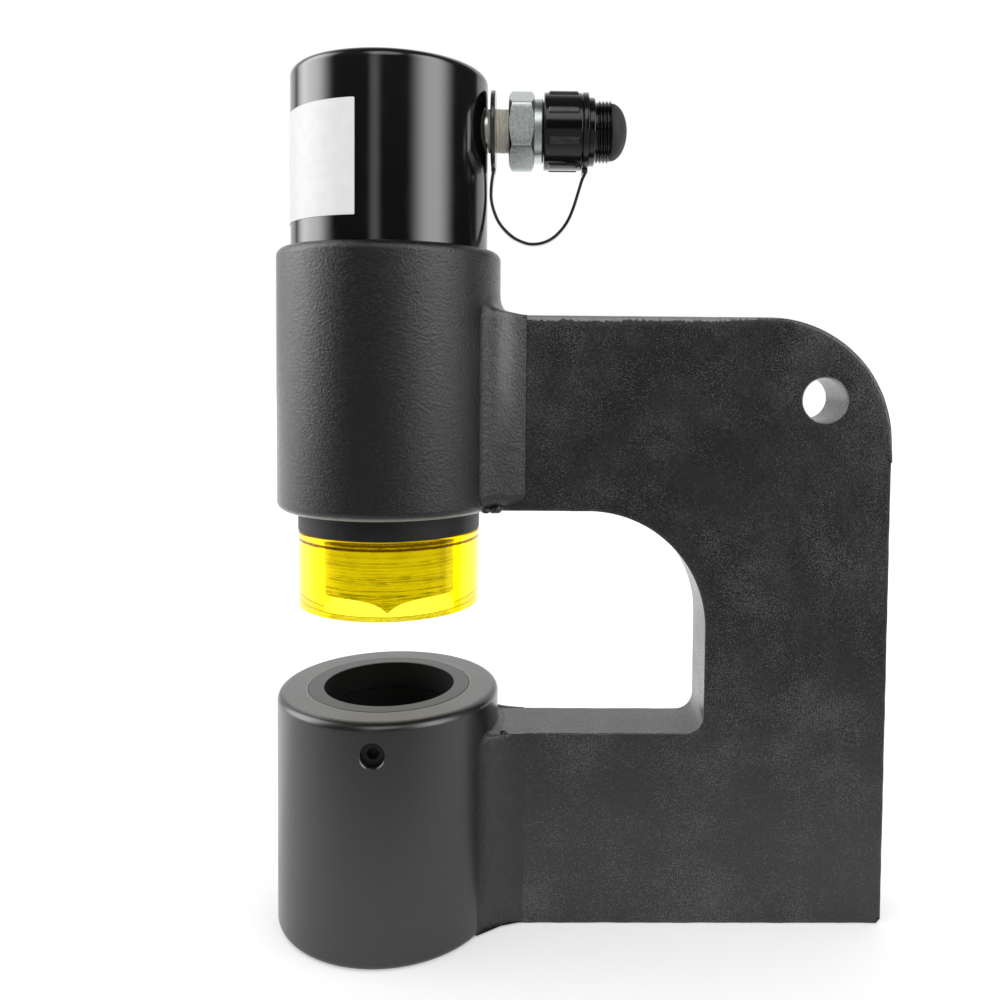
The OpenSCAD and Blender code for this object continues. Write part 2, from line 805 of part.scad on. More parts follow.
// A ring of the tether with a square lug below that its strap grows from
module tether_ring(x, thick, r_in, wide) {
    r_out = r_in + wide;
    difference() {
        union() {
            turned_x([[r_in, x], [r_out, x], [r_out, x + thick], [r_in, x + thick]]);
            translate([x, -strap_w / 2 - 0.25, lug_z])
                cube([thick, strap_w + 0.5, port_z - lug_z - (r_in + r_out) / 2]);
        }
        translate([x - cut, 0, port_z]) rotate([0, 90, 0]) cylinder(h = thick + 2 * cut, r = r_in);
    }
}

module tether_neck_ring() {
    color(gloss_black)
    tether_ring(neck_ring_x, neck_ring_t, shank_r + tape_t + loose_gap, neck_ring_w);
}

module tether_cap_ring() {
    color(gloss_black)
    tether_ring(cap_ring_x, cap_ring_t, cap_groove_r + loose_gap, cap_ring_w);
}

// The strap: eight sides, its flat faces across Y, one ring at each point of its route
function strap_point(i) = strap_route[max(0, min(len(strap_route) - 1, i))];
function strap_direction(i) =
    (i == 0 || i == len(strap_route) - 1)
        ? [0, i == 0 ? -1 : 1]
        : let (d = strap_point(i + 1) - strap_point(i - 1)) d / norm(d);
function strap_section() =
    let (w = strap_w / 2, t = strap_t / 2, b = strap_t / 4)
    [[w, -t + b], [w, t - b], [w - b, t], [-w + b, t], [-w, t - b], [-w, -t + b], [-w + b, -t], [w - b, -t]];

module tether_strap() {
    color(gloss_black)
    translate([barrel_r, 0, port_z])
        skin([for (i = [0 : len(strap_route) - 1])
            let (p = strap_point(i), d = strap_direction(i))
            [for (s = strap_section()) [p[0] - s[1] * d[1], s[0], p[1] + s[1] * d[0]]]]);
}

strap_length = [for (i = [1 : len(strap_route) - 1]) norm(strap_point(i) - strap_point(i - 1))];
echo(strap_length = strap_length * [for (i = strap_length) 1]);

module dust_cap() {
    color(gloss_black)
    difference() {
        union() {
            turned_x([
                [0, cap_x], [cap_r - 0.6, cap_x], [cap_r, cap_x + 0.6],
                [cap_r, cap_groove_x - 0.5], [cap_r - 0.5, cap_groove_x], [cap_groove_r, cap_groove_x],
                [cap_groove_r, cap_groove_end], [shoulder_r, cap_groove_end],
                [shoulder_r, shoulder_end - 1], [shoulder_r - 1, shoulder_end],
                [cap_thread_d / 2 - 1.2, shoulder_end], [cap_thread_d / 2 - 1.2, neck_end],
                [cap_thread_d / 2, neck_end + 0.6], [cap_thread_d / 2, cap_end - 0.6],
                [cap_thread_d / 2 - 0.6, cap_end], [0, cap_end]
            ]);
            for (rib = [0 : cap_ribs - 1])
                translate([cap_x + 2, 0, port_z]) rotate([rib * 360 / cap_ribs + 101, 0, 0])
                    translate([0, -rib_w / 2, cap_r - 1])
                        cube([cap_groove_x - cap_x - 3.5, rib_w, 1 + rib_h]);
        }
        turned_x([
            [0, cap_x - cut], [cap_bore_r, cap_x - cut], [cap_bore_r, cap_step_x],
            [nose_d / 2 + loose_gap, cap_step_x], [nose_d / 2 + loose_gap, cap_floor_x], [0, cap_floor_x]
        ]);
        turned_x([
            [0, bulb_seat_x], [bulb_stem_d / 2, bulb_seat_x],
            [bulb_stem_d / 2, cap_end + cut], [0, cap_end + cut]
        ]);
    }
}

module cap_bulb() {
    bulb_r = cap_thread_d / 2 - 1;
    color("#303032")
    turned_x(concat(
        [[0, bulb_seat_x + 0.1], [bulb_stem_d / 2 - seat_gap, bulb_seat_x + 0.1],
            [bulb_stem_d / 2 - seat_gap, cap_end]],
        [for (i = [0 : 12]) let (a = i * 7.5)
            [bulb_r * cos(a), cap_end + bulb_l * sin(a)]]
    ));
}

frame_plate();
upper_housing();
die_column();
upper_weld();
lower_weld();
cylinder_barrel();
blank_label();
gland();
guide_bush();
rod_wiper();
ram();
piston_seal();
backup_ring();
wear_ring();
return_spring();
punch_holder();
punch();
punch_screw();
stripper_ring();
die();
lock_pad();
lock_screw();
coupler_nipple();
thread_tape();
valve_poppet();
valve_seal();
valve_spring();
valve_guide();
tether_neck_ring();
tether_strap();
tether_cap_ring();
dust_cap();
cap_bulb();
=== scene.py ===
import math

import bmesh
import bpy
import numpy as np
from mathutils import Matrix
from mathutils.geometry import tessellate_polygon


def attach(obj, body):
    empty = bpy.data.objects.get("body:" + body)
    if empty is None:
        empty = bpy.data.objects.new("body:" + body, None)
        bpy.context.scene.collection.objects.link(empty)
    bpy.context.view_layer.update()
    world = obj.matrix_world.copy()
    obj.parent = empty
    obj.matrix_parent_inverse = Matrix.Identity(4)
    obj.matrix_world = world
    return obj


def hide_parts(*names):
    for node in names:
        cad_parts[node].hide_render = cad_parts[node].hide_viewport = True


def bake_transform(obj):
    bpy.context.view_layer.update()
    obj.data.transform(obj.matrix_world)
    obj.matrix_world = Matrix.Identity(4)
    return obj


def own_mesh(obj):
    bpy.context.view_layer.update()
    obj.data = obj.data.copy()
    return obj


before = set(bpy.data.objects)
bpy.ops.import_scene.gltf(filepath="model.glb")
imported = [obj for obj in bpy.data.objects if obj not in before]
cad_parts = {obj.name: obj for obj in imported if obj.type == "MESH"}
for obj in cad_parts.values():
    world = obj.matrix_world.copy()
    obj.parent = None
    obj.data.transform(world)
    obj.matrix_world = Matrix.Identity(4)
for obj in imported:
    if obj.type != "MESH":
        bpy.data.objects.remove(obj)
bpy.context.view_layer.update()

MM = 0.001
ROUND = 192

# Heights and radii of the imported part, in mm
TUBE_R, TUBE_ROUND = 50.75, 4.0
HOUSING_LOW, HOUSING_TOP = 190.0, 307.0
LIP_R, BARREL_R, BARREL_LOW, BARREL_TOP = 42.5, 44.5, 212.0, 386.5
BORE_R, BORE_TOP = 34.0, 374.0
COLUMN_TOP, SLUG_R, DIE_LOW, DIE_R = 106.0, 33.0, 76.0, 37.2
LOCK_Z, GROOVE_LOW, GROOVE_TOP = 92.2, 86.9, 97.5
PLATE_HALF, FLOOR, PLATE_TOP, PLATE_BACK = 16.0, 88.5, 278.0, 228.5
THROAT_X, THROAT_ROUND, CORNER_ROUND = 145.0, 53.5, 56.5
HOLE_X, HOLE_Z, HOLE_R = 197.5, 241.0, 10.0
HOLDER_R, HOLDER_LOW, SHOULDER, SPIGOT_R = 41.5, 180.2, 196.2, 18.05
RING_LOW, RING_IN = 146.2, 30.0
PUNCH_R, PUNCH_LOW, ROOF_RISE = 29.5, 147.5, 6.0
PORT_Z, SHANK_R, SLEEVE_R = 362.5, 9.5, 17.3
RETURN_SPRING_FOOT, VALVE_SPRING_FOOT = 236.05, 73.05
LABEL_LOW, LABEL_HIGH, LABEL_CORNER = 317.5, 365.5, 0.5

# The fitted camera: place in mm, turns in radians, focal length in frame widths
CAMERA_AT = np.array([63.8232, -435.655, 258.1088])
YAW, PITCH, ROLL = 0.0129, -0.0429, -0.0086
FOCAL, SENSOR = 0.9389735, 36


def place_camera():
    """A pinhole camera in the part's own frame."""
    ahead = np.array([math.sin(YAW) * math.cos(PITCH), math.cos(YAW) * math.cos(PITCH), math.sin(PITCH)])
    level = np.array([math.cos(YAW), -math.sin(YAW), 0.0])
    lower = np.cross(ahead, level)
    right = level * math.cos(ROLL) + lower * math.sin(ROLL)
    down = lower * math.cos(ROLL) - level * math.sin(ROLL)
    data = bpy.data.cameras.new("camera")
    data.sensor_width = SENSOR
    data.lens = SENSOR * FOCAL
    data.shift_x, data.shift_y = -0.04, -0.10
    data.clip_start, data.clip_end = 0.01, 50
    camera = bpy.data.objects.new("camera", data)
    bpy.context.scene.collection.objects.link(camera)
    turn = Matrix((right, -down, -ahead)).transposed().to_4x4()
    camera.matrix_world = Matrix.Translation(CAMERA_AT * MM) @ turn
    bpy.context.scene.camera = camera


place_camera()


# Meshes
def finish_mesh(name, bm, sharp):
    """Merges doubles, turns the skin outwards and shades it smooth up to a sharp angle in degrees."""
    bmesh.ops.remove_doubles(bm, verts=bm.verts, dist=2e-6)
    bmesh.ops.dissolve_degenerate(bm, edges=bm.edges, dist=1e-7)
    if bm.calc_volume(signed=True) < 0:
        bmesh.ops.reverse_faces(bm, faces=bm.faces)
    mesh = bpy.data.meshes.new(name)
    bm.to_mesh(mesh)
    bm.free()
    mesh.shade_smooth()
    mesh.set_sharp_from_angle(angle=math.radians(sharp))
    piece = bpy.data.objects.new(name, mesh)
    bpy.context.scene.collection.objects.link(piece)
    return piece


def skin(name, grid, looped=False, sharp=32):
    """A closed skin over a grid of points in mm: point (i, j) joins (i, j + 1) and (i + 1, j), each row
    wraps round, and the end rows close on their middle unless the last row joins the first."""
    rows, columns = grid.shape[:2]
    here = np.arange(rows * columns).reshape(rows, columns)
    aside = np.roll(here, -1, axis=1)
    if looped:
        low, low_aside = here, aside
        high, high_aside = np.roll(here, -1, axis=0), np.roll(aside, -1, axis=0)
    else:
        low, low_aside, high, high_aside = here[:-1], aside[:-1], here[1:], aside[1:]
    faces = np.stack([low, low_aside, high_aside, high], -1).reshape(-1, 4).tolist()
    points = grid.reshape(-1, 3)
    if not looped:
        middle = len(points)
        points = np.vstack([points, grid[0].mean(0), grid[-1].mean(0)])
        faces += np.stack([np.full(columns, middle), aside[0], here[0]], -1).tolist()
        faces += np.stack([np.full(columns, middle + 1), here[-1], aside[-1]], -1).tolist()
    mesh = bpy.data.meshes.new(name + "_points")
    mesh.from_pydata((points * MM).tolist(), [], faces)
    bm = bmesh.new()
    bm.from_mesh(mesh)
    bpy.data.meshes.remove(mesh)
    return finish_mesh(name, bm, sharp)


def circle(sides):
    """Evenly spaced angles all round."""
    return np.arange(sides) * 2 * math.pi / sides


def eased(t):
    """A smooth step from 0 to 1."""
    t = np.clip(t, 0, 1)
    return t * t * (3 - 2 * t)


def unit(v):
    """Vectors made one long."""
    return v / np.linalg.norm(v, axis=-1, keepdims=True)


def rounded(corners, looped=False, support=0.12):
    """An outline through [x, y, radius] corners: each corner with a radius becomes a circular arc that
    touches both sides, with a point close before and after it that keeps the flats flat."""
    finest, longest = math.radians(9), 1.6
    corners = np.array(corners, float)
    count = len(corners)
    outline = []
    for i in range(count):
        x, y, radius = corners[i]
        here = np.array([x, y])
        if radius <= 0 or (not looped and i in (0, count - 1)):
            outline.append(here)
            continue
        back = corners[i - 1, :2] - here
        on = corners[(i + 1) % count, :2] - here
        room = min(np.linalg.norm(back), np.linalg.norm(on))
        back, on = unit(back), unit(on)
        half = math.acos(np.clip(back @ on, -1, 1)) / 2
        reach = radius / math.tan(half)
        middle = here + unit(back + on) * radius / math.sin(half)
        start, end = here + back * reach - middle, here + on * reach - middle
        sweep = math.pi - 2 * half
        steps = max(4, math.ceil(sweep / finest), math.ceil(radius * sweep / longest))
        gap = min(support, max(0, (room - reach) * 0.3))
        if gap > 0:
            outline.append(here + back * (reach + gap))
        for t in np.arange(steps + 1) / steps:
            mix = (math.sin((1 - t) * sweep) * start + math.sin(t * sweep) * end) / math.sin(sweep)
            outline.append(middle + mix)
        if gap > 0:
            outline.append(here + on * (reach + gap))
    return np.array(outline)


def about_z(profile, sides=ROUND):
    """The grid of a solid turned about Z: each [radius, height] of the profile goes round."""
    profile, turn = np.asarray(profile, float), circle(sides)
    r = profile[:, :1]
    return np.stack([r * np.cos(turn), r * np.sin(turn), np.repeat(profile[:, 1:2], sides, axis=1)], -1)


def about_port(rows, turn):
    """The grid of a solid about the port's axis from [radius, place along X] rows, where a row's radius
    or place may be one number or one for each angle."""
    return np.array([
        np.stack(np.broadcast_arrays(x, r * np.cos(turn), PORT_Z + r * np.sin(turn)), -1) for r, x in rows
    ])


def turned(name, corners):
    """A solid of revolution about Z from the [radius, height, corner radius] rows of a closed section."""
    return skin(name, about_z(rounded(corners, True)), True)


def cut_with(piece, cutter):
    """Takes the cutter's shape out of the piece for good, and removes the cutter."""
    tool = piece.modifiers.new("cut", "BOOLEAN")
    tool.operation, tool.object, tool.solver = "DIFFERENCE", cutter, "EXACT"
    bm = bmesh.new()
    bm.from_object(piece, bpy.context.evaluated_depsgraph_get())
    name = piece.name
    bpy.data.objects.remove(cutter)
    bpy.data.objects.remove(piece)
    result = finish_mesh(name, bm, 32)
    result.name = name
    return result


def along(points, count):
    """Points of a smooth curve through the given ones, by Catmull-Rom pieces, and its directions."""
    points = np.asarray(points, float)
    ends = np.vstack([2 * points[0] - points[1], points, 2 * points[-1] - points[-2]])
    t = np.linspace(0, len(points) - 1 - 1e-9, count)
    i = t.astype(int)
    f = (t - i)[:, None]
    a, b, c, d = ends[i], ends[i + 1], ends[i + 2], ends[i + 3]
    place = 0.5 * (2 * b + (c - a) * f + (2 * a - 5 * b + 4 * c - d) * f ** 2
                   + (3 * b - a - 3 * c + d) * f ** 3)
    return place, unit(np.gradient(place, axis=0))


# The tether's strap, a free cord: its route as [x from the barrel, z from the port's axis]
STRAP_WIDE, STRAP_THICK, STRAP_EDGE = 6.0, 1.4, 0.45
STRAP_ROUTE = [
    [2.7, -19], [2.2, -22], [1.8, -26], [1.8, -31], [2.9, -36], [5, -41], [8, -45], [12, -48.5],
    [16, -50.5], [20, -51.5], [25, -51], [29.5, -49], [33.5, -45.5], [37, -40.5], [39.5, -34.5],
    [41.5, -28], [43.3, -22], [44.7, -19]
]


def strap_surface():
    """A rounded flat section, its wide faces across Y, carried along the smoothed route."""
    route = np.array([[BARREL_R + x, 0, PORT_Z + z] for x, z in STRAP_ROUTE])
    place, way = along(route, 120)
    way[0], way[-1] = [0, 0, -1], [0, 0, 1]
    side = np.stack([-way[:, 2], np.zeros(len(way)), way[:, 0]], -1)
    w, t = STRAP_WIDE / 2, STRAP_THICK / 2
    section = rounded([[x, y, STRAP_EDGE] for x, y in ((-w, -t), (w, -t), (w, t), (-w, t))], True)
    wide, thick = section[None, :, :1] * [0, 1.0, 0], section[None, :, 1:] * side[:, None]
    return skin("tether_strap_moulded", place[:, None] + wide + thick), place


strap, strap_path = strap_surface()


# Nodes
class Field:
    """A value or colour that changes over a surface: a node's output, with plain arithmetic on it."""

    def __init__(self, socket):
        self.socket, self.tree = socket, socket.id_data

    def maths(self, operation, *others):
        return wire(self.tree, "ShaderNodeMath", (self, *others), operation=operation)

    def __add__(self, other):
        return self.maths("ADD", other)

    def __sub__(self, other):
        return self.maths("SUBTRACT", other)

    def __mul__(self, other):
        return self.maths("MULTIPLY", other)

    def __rsub__(self, other):
        return wire(self.tree, "ShaderNodeMath", (other, self), operation="SUBTRACT")

    def __rtruediv__(self, other):
        return wire(self.tree, "ShaderNodeMath", (other, self), operation="DIVIDE")

    def larger(self, other):
        return self.maths("MAXIMUM", other)

    def distance(self, other):
        """The distance from an axis, from the two places across it."""
        return (self * self + other * other).maths("SQRT")

    def parts(self):
        """A vector's X, Y and Z."""
        return [Field(out) for out in wire(self.tree, "ShaderNodeSeparateXYZ", [self]).socket.node.outputs]

    def vector(self, operation, other=None, scale=None, out=0):
        named = {} if scale is None else {"Scale": scale}
        return wire(self.tree, "ShaderNodeVectorMath", [self, other], out, named, operation=operation)

    def noise(self, size, detail=3.0, rough=0.5):
        """Noise whose features are about the given size in this vector's units."""
        return wire(self.tree, "ShaderNodeTexNoise", named={
            "Vector": self, "Scale": 1 / size, "Detail": detail, "Roughness": rough})

    def ramp(self, low, high, to_low=0.0, to_high=1.0):
        """A smooth step between two values."""
        return wire(self.tree, "ShaderNodeMapRange", [self, low, high, to_low, to_high],
                    interpolation_type="SMOOTHSTEP")

    def mix(self, one, two):
        """One colour or the other, by this share."""
        made = self.tree.nodes.new("ShaderNodeMix")
        made.data_type = "RGBA"
        for slot, value in ((0, self), (6, one), (7, two)):
            feed(made.inputs[slot], value)
        return Field(made.outputs[2])


def feed(socket, value):
    """Gives a socket a plain value, or links it to a field."""
    if isinstance(value, Field):
        value.tree.links.new(value.socket, socket)
    elif value is not None:
        socket.default_value = value


def wire(tree, kind, inputs=(), out=0, named=None, **settings):
    """A node with its settings, its inputs fed in order or by name, as one of its outputs."""
    made = tree.nodes.new(kind)
    for key, value in settings.items():
        setattr(made, key, value)
    for key, value in [*enumerate(inputs), *(named or {}).items()]:
        feed(made.inputs[key], value)
    return Field(made.outputs[out])


def in_mm(tree, stretch=(1, 1, 1), turn=(0, 0, 0)):
    """The piece's own coordinates in millimetres, each axis divided by its stretch."""
    place = wire(tree, "ShaderNodeTexCoord", out=3)
    return wire(tree, "ShaderNodeMapping", [place, None, turn, tuple(1000 / s for s in stretch)])


def rays(tree):
    """Whether the camera, a glossy or a transmitted ray is looking, each 0 or 1."""
    outputs = tree.nodes.new("ShaderNodeLightPath").outputs
    return [Field(outputs[label]) for label in ("Is Camera Ray", "Is Glossy Ray", "Is Transmission Ray")]


def effect(output, **inputs):
    """Makes a node group, with number inputs and one output, of the function that follows. Under that
    function's name, the group is then placed in a material with values of its own."""
    def keep(build):
        group = bpy.data.node_groups.new(build.__name__, "ShaderNodeTree")
        for label, value in inputs.items():
            socket = group.interface.new_socket(label, in_out="INPUT", socket_type="NodeSocketFloat")
            socket.default_value = value
        group.interface.new_socket(output, in_out="OUTPUT", socket_type="NodeSocketFloat")
        start, end = group.nodes.new("NodeGroupInput"), group.nodes.new("NodeGroupOutput")
        feed(end.inputs[output], build(group, *(Field(start.outputs[label]) for label in inputs)))
        return lambda tree, **values: wire(tree, "ShaderNodeGroup", named=values, node_tree=group)
    return keep


# Effects that several finishes share
@effect("Height", Size=1.0, Fine=0.4)
def paint_grain(tree, size, fine):
    """Height of sprayed paint: a soft orange peel of the given size with finer grain on it."""
    place = in_mm(tree, (1, 1, 1.5)).vector("SCALE", scale=1.0 / size)
    return place.noise(0.3, 2.0) * fine + place.noise(1.0, 2.0)


@effect("Mask", Size=0.5, Amount=0.2)
def light_specks(tree, size, amount):
    """Mask of small light flecks: noise above a threshold, thinned out by patches."""
    place = in_mm(tree)
    spots = place.vector("SCALE", scale=1.0 / size).noise(1.0, 3.0, 0.7)
    patches = place.noise(45.0, 4.0, 0.7)
    return (spots - (0.78 - amount * patches)).ramp(0.0, 0.05)


@effect("Mask", Amount=1.0)
def fine_scratches(tree, amount):
    """Mask of long fine scratches two ways: thin bands of stretched noise where a second noise is high."""
    masks = []
    for turn in (0.5, -0.9):
        place = in_mm(tree, turn=(0, turn, 0))
        drawn_out = wire(tree, "ShaderNodeMapping", [place, None, None, (0.012, 0.3, 0.45)])
        thin = (drawn_out.noise(1.0, 4.0, 0.6) - 0.52).maths("ABSOLUTE").ramp(0.0, 0.006, 1.0, 0.0)
        masks.append(thin * place.noise(28.0, 2.0).ramp(0.56, 0.66))
    return masks[0].larger(masks[1]) * amount


@effect("Height", Pitch=0.3)
def tool_lines(tree, pitch):
    """Height of turned lines about the Z axis: noise over distance from the axis and height alone."""
    place = in_mm(tree)
    x, y, z = place.parts()
    section = wire(tree, "ShaderNodeCombineXYZ", [x.distance(y), 0.0, z])
    return place.noise(9.0, 2.0) * 0.25 + section.vector("SCALE", scale=1.0 / pitch).noise(1.0, 2.0, 0.6)


@effect("Mask", Edge=0.0, Amount=0.3)
def edge_wear(tree, edge, amount):
    """Mask of chipped paint along marked edges: the edge mark broken up by noise."""
    place = in_mm(tree)
    chips = place.noise(1.4, 4.0, 0.65) + place.noise(12.0, 2.0) * 0.6
    return (edge * chips - (1.0 - amount)).ramp(0.0, 0.12)


# Finishes: each function returns what changes over the surface, by the shader's sockets
FINISH = {}


def grey(level):
    return (level, level, level, 1.0)


def material(name, build, **values):
    """A Principled material with plain values on its sockets and build(tree) for what changes."""
    made = bpy.data.materials.new(name)
    made.use_nodes = True
    shader = made.node_tree.nodes["Principled BSDF"]
    for label, value in {**values, **build(made.node_tree)}.items():
        feed(shader.inputs[label.replace("_", " ")], value)
    return made


def finish(**values):
    """Makes a material, with the given plain values, of the function that follows, under its name."""
    def keep(build):
        FINISH[build.__name__] = material(build.__name__, build, **values)
        return build
    return keep


def relief(height, depth):
    """The normal of a surface that follows a height field, one unit of it being depth mm."""
    return wire(height.tree, "ShaderNodeBump", named={
        "Strength": 1.0, "Distance": depth * MM, "Height": height})


def coat(base, rough, height, depth):
    """A plain finish: its colour, roughness and relief."""
    return dict(Base_Color=base, Roughness=rough, Normal=relief(height, depth))


@finish(Specular_IOR_Level=0.6)
def plate_paint(tree):
    """Worn satin black on flame-cut plate: speckled, darker face, lighter chipped edges."""
    place = in_mm(tree)
    edge = wire(tree, "ShaderNodeAttribute", out=2, attribute_name="edge")
    wear = edge_wear(tree, Edge=edge, Amount=0.32)
    cloud = place.noise(24.0, 4.0, 0.6)
    base = cloud.ramp(0.35, 0.7).mix(grey(0.001), grey(0.004))
    base = place.noise(1.3, 3.0, 0.7).ramp(0.5, 0.72).mix(base, grey(0.020))
    base = (light_specks(tree, Size=0.7, Amount=0.46) * 0.5).mix(base, grey(0.13))
    base = (fine_scratches(tree, Amount=0.5) * 0.3).mix(base, grey(0.09))
    base = (edge * 0.6).mix(base, grey(0.05))
    base = wear.mix(base, (0.24, 0.23, 0.22, 1))
    height = wear * -0.4 + paint_grain(tree, Size=0.9, Fine=0.6)
    return coat(base, cloud.ramp(0.3, 0.7, 0.24, 0.31), height, 0.14)


@finish(Specular_IOR_Level=0.55)
def housing_wrinkle(tree):
    """Wrinkled satin black: close bumps about 0.8 mm wide, drawn out a little along Z, with a painted
    highlight along the lower rim."""
    grain = paint_grain(tree, Size=0.85, Fine=0.5)
    # rim: a painted highlight, the lower rim's colour lightened to stand in for its reflection of the floor
    rim = in_mm(tree).parts()[2].ramp(HOUSING_LOW + 0.3, HOUSING_LOW + 2.2, 1.0, 0.0)
    base = (light_specks(tree, Size=0.6, Amount=0.34) * 0.3).mix(grey(0.002), grey(0.08))
    return coat(rim.mix(base, grey(0.30)), grain.ramp(0.3, 0.9, 0.17, 0.24), grain, 0.24)


@finish(Specular_IOR_Level=0.62)
def weld_paint(tree):
    """The same black brushed over a ground weld: soft dents, specks and rubbed patches, and a painted
    highlight along the crown of the upper weld."""
    place = in_mm(tree)
    grain = paint_grain(tree, Size=0.85, Fine=0.5)
    x, _, z = place.parts()
    # painted highlight: a pale band along the upper weld's crown, stronger towards the top
    painted_crown_highlight = x.ramp(48.0, 53.0) * x.ramp(54.0, 61.0, 1.0, 0.0) * z.ramp(215.0, 265.0)
    base = place.noise(9.0, 4.0, 0.65).ramp(0.5, 0.75).mix(grey(0.002), grey(0.006))
    base = painted_crown_highlight.mix(base, grey(0.11))
    base = (light_specks(tree, Size=0.55, Amount=0.33) * 0.4).mix(base, grey(0.10))
    height = place.noise(5.0, 3.0, 0.55) * 1.2 + grain
    return coat(base, grain.ramp(0.3, 0.9, 0.23, 0.33), height, 0.26)


@finish(Specular_IOR_Level=0.75)
def column_satin(tree):
    """Smoother satin black with a faint haze and a few flecks, its top face painted greyer, partly as ground
    wear and partly as a painted highlight, and a painted highlight ring at the die's seat.
    """
    x, y, z = in_mm(tree).parts()
    haze = in_mm(tree).noise(30.0, 3.0)
    base = haze.ramp(0.2, 0.8).mix(grey(0.004), grey(0.006))
    base = (light_specks(tree, Size=0.5, Amount=0.27) * 0.3).mix(base, grey(0.08))
    # the top face painted greyer: partly ground wear, partly a painted highlight for its reflection
    base = z.ramp(COLUMN_TOP - 0.5, COLUMN_TOP - 0.05).mix(base, grey(0.09))
    # painted highlight: a pale ring along the edge of the die's seat stands in for its glint
    painted_seat_highlight = x.distance(y).ramp(37.7, 38.1, 1.0, 0.0) * z.ramp(COLUMN_TOP - 0.4, COLUMN_TOP - 0.2)
    grain = paint_grain(tree, Size=1.1, Fine=0.4)
    return coat(painted_seat_highlight.mix(base, grey(0.25)), haze.ramp(0.2, 0.8, 0.26, 0.32), grain, 0.02)


@finish(Specular_IOR_Level=0.75)
def barrel_gloss(tree):
    """Hard gloss black with a very slight waviness."""
    wave = in_mm(tree, (1, 1, 2)).noise(9.0, 2.0)
    base = (light_specks(tree, Size=0.35, Amount=0.24) * 0.3).mix(grey(0.004), grey(0.06))
    return coat(base, wave.ramp(0.3, 0.7, 0.09, 0.14), wave, 0.02)


@finish()
def label_white(tree):
    """Matte white film with a faint mottling."""
    base = in_mm(tree).noise(6.0, 3.0).ramp(0.3, 0.7).mix((0.84, 0.84, 0.85, 1), grey(0.88))
    return coat(base, 0.45, in_mm(tree).noise(1.2, 2.0), 0.004)


@finish(Specular_IOR_Level=0.3)
def black_oxide(tree):
    """Matte blackened steel with turned lines and rubbed spots."""
    lines = tool_lines(tree, Pitch=0.35)
    rub = in_mm(tree).noise(7.0, 4.0).ramp(0.55, 0.75) * 0.4
    return coat(rub.mix(grey(0.006), grey(0.02)), lines.ramp(0.3, 0.9, 0.42, 0.56), lines, 0.01)


@finish(Metallic=0.5)
def die_steel(tree):
    """Blackened die, oiled and finely turned: grey ground top face and a dull bore painted near black as
    shade.
    """
    lines = tool_lines(tree, Pitch=0.22)
    # painted shade: the bore below the top face darkened to near black, and made rougher
    painted_bore_shade = in_mm(tree).parts()[2].ramp(COLUMN_TOP - 0.5, COLUMN_TOP - 0.05, 1.0, 0.0)
    face = lines.ramp(0.35, 0.85).mix(grey(0.05), grey(0.09))
    rough = painted_bore_shade * 0.5 + lines.ramp(0.3, 0.9, 0.3, 0.42)
    return coat(painted_bore_shade.mix(face, grey(0.004)), rough, lines, 0.008)


@finish(Metallic=0.35)
def punch_steel(tree):
    """Turned tool steel, pale, with broken dark lines round it and a dark grain."""
    lines = tool_lines(tree, Pitch=0.65)
    breaks = in_mm(tree, (8, 8, 0.6)).noise(1.0, 4.0, 0.7)
    dark = lines.ramp(0.58, 0.74) * breaks.ramp(0.38, 0.58)
    dark = dark.larger(tool_lines(tree, Pitch=0.33).ramp(0.62, 0.78) * 0.6)
    dark = dark.larger(in_mm(tree).noise(0.5, 2.0).ramp(0.55, 0.75) * 0.35)
    base = dark.mix((0.98, 0.97, 0.93, 1), (0.14, 0.11, 0.03, 1))
    return coat(base, lines.ramp(0.3, 0.9, 0.35, 0.5), lines, 0.02)


@finish(Metallic=1.0)
def machined_steel(tree):
    """Bright turned steel."""
    lines = tool_lines(tree, Pitch=0.25)
    base = lines.ramp(0.3, 0.8).mix(grey(0.46), grey(0.6))
    return coat(base, lines.ramp(0.3, 0.9, 0.22, 0.36), lines, 0.008)


@finish(Metallic=1.0)
def zinc_plate(tree):
    """Bluish zinc plate on turned steel, blotched and finely speckled."""
    cloud = in_mm(tree).noise(1.1, 4.0, 0.65)
    base = cloud.ramp(0.35, 0.65).mix((0.40, 0.43, 0.42, 1), (0.53, 0.57, 0.56, 1))
    grain = in_mm(tree, (0.5, 2.5, 2.5)).noise(0.5, 3.0)
    return coat(base, cloud.ramp(0.3, 0.7, 0.27, 0.38), grain, 0.02)


@finish()
def sealing_tape(tree):
    """Ivory sealing tape: soft wound folds over the thread below."""
    folds = in_mm(tree, (0.6, 4, 4)).noise(1.0, 3.0)
    base = folds.ramp(0.3, 0.7).mix((0.62, 0.58, 0.47, 1), (0.82, 0.79, 0.70, 1))
    return coat(base, 0.5, folds, 0.12)


@finish(Specular_IOR_Level=0.45)
def cap_plastic(tree):
    """Moulded black plastic, glossy with faint flow marks, its ribs rubbed grey."""
    flow = in_mm(tree, (4, 1, 1)).noise(1.5, 3.0)
    _, y, z = in_mm(tree).parts()
    rubbed = y.distance(z - PORT_Z).ramp(17.5, 17.9) * flow.ramp(0.35, 0.6, 0.5, 1.0)
    base = rubbed.mix(grey(0.0025), grey(0.03))
    return coat(base, flow.ramp(0.3, 0.7, 0.10, 0.15), flow, 0.015)


@finish()
def bulb_rubber(tree):
    """Dull black rubber with a dusty bloom."""
    bloom = in_mm(tree).noise(3.0, 4.0, 0.6)
    base = bloom.ramp(0.35, 0.7).mix(grey(0.016), grey(0.026))
    return coat(base, bloom.ramp(0.3, 0.7, 0.62, 0.75), in_mm(tree).noise(0.35, 2.0), 0.02)
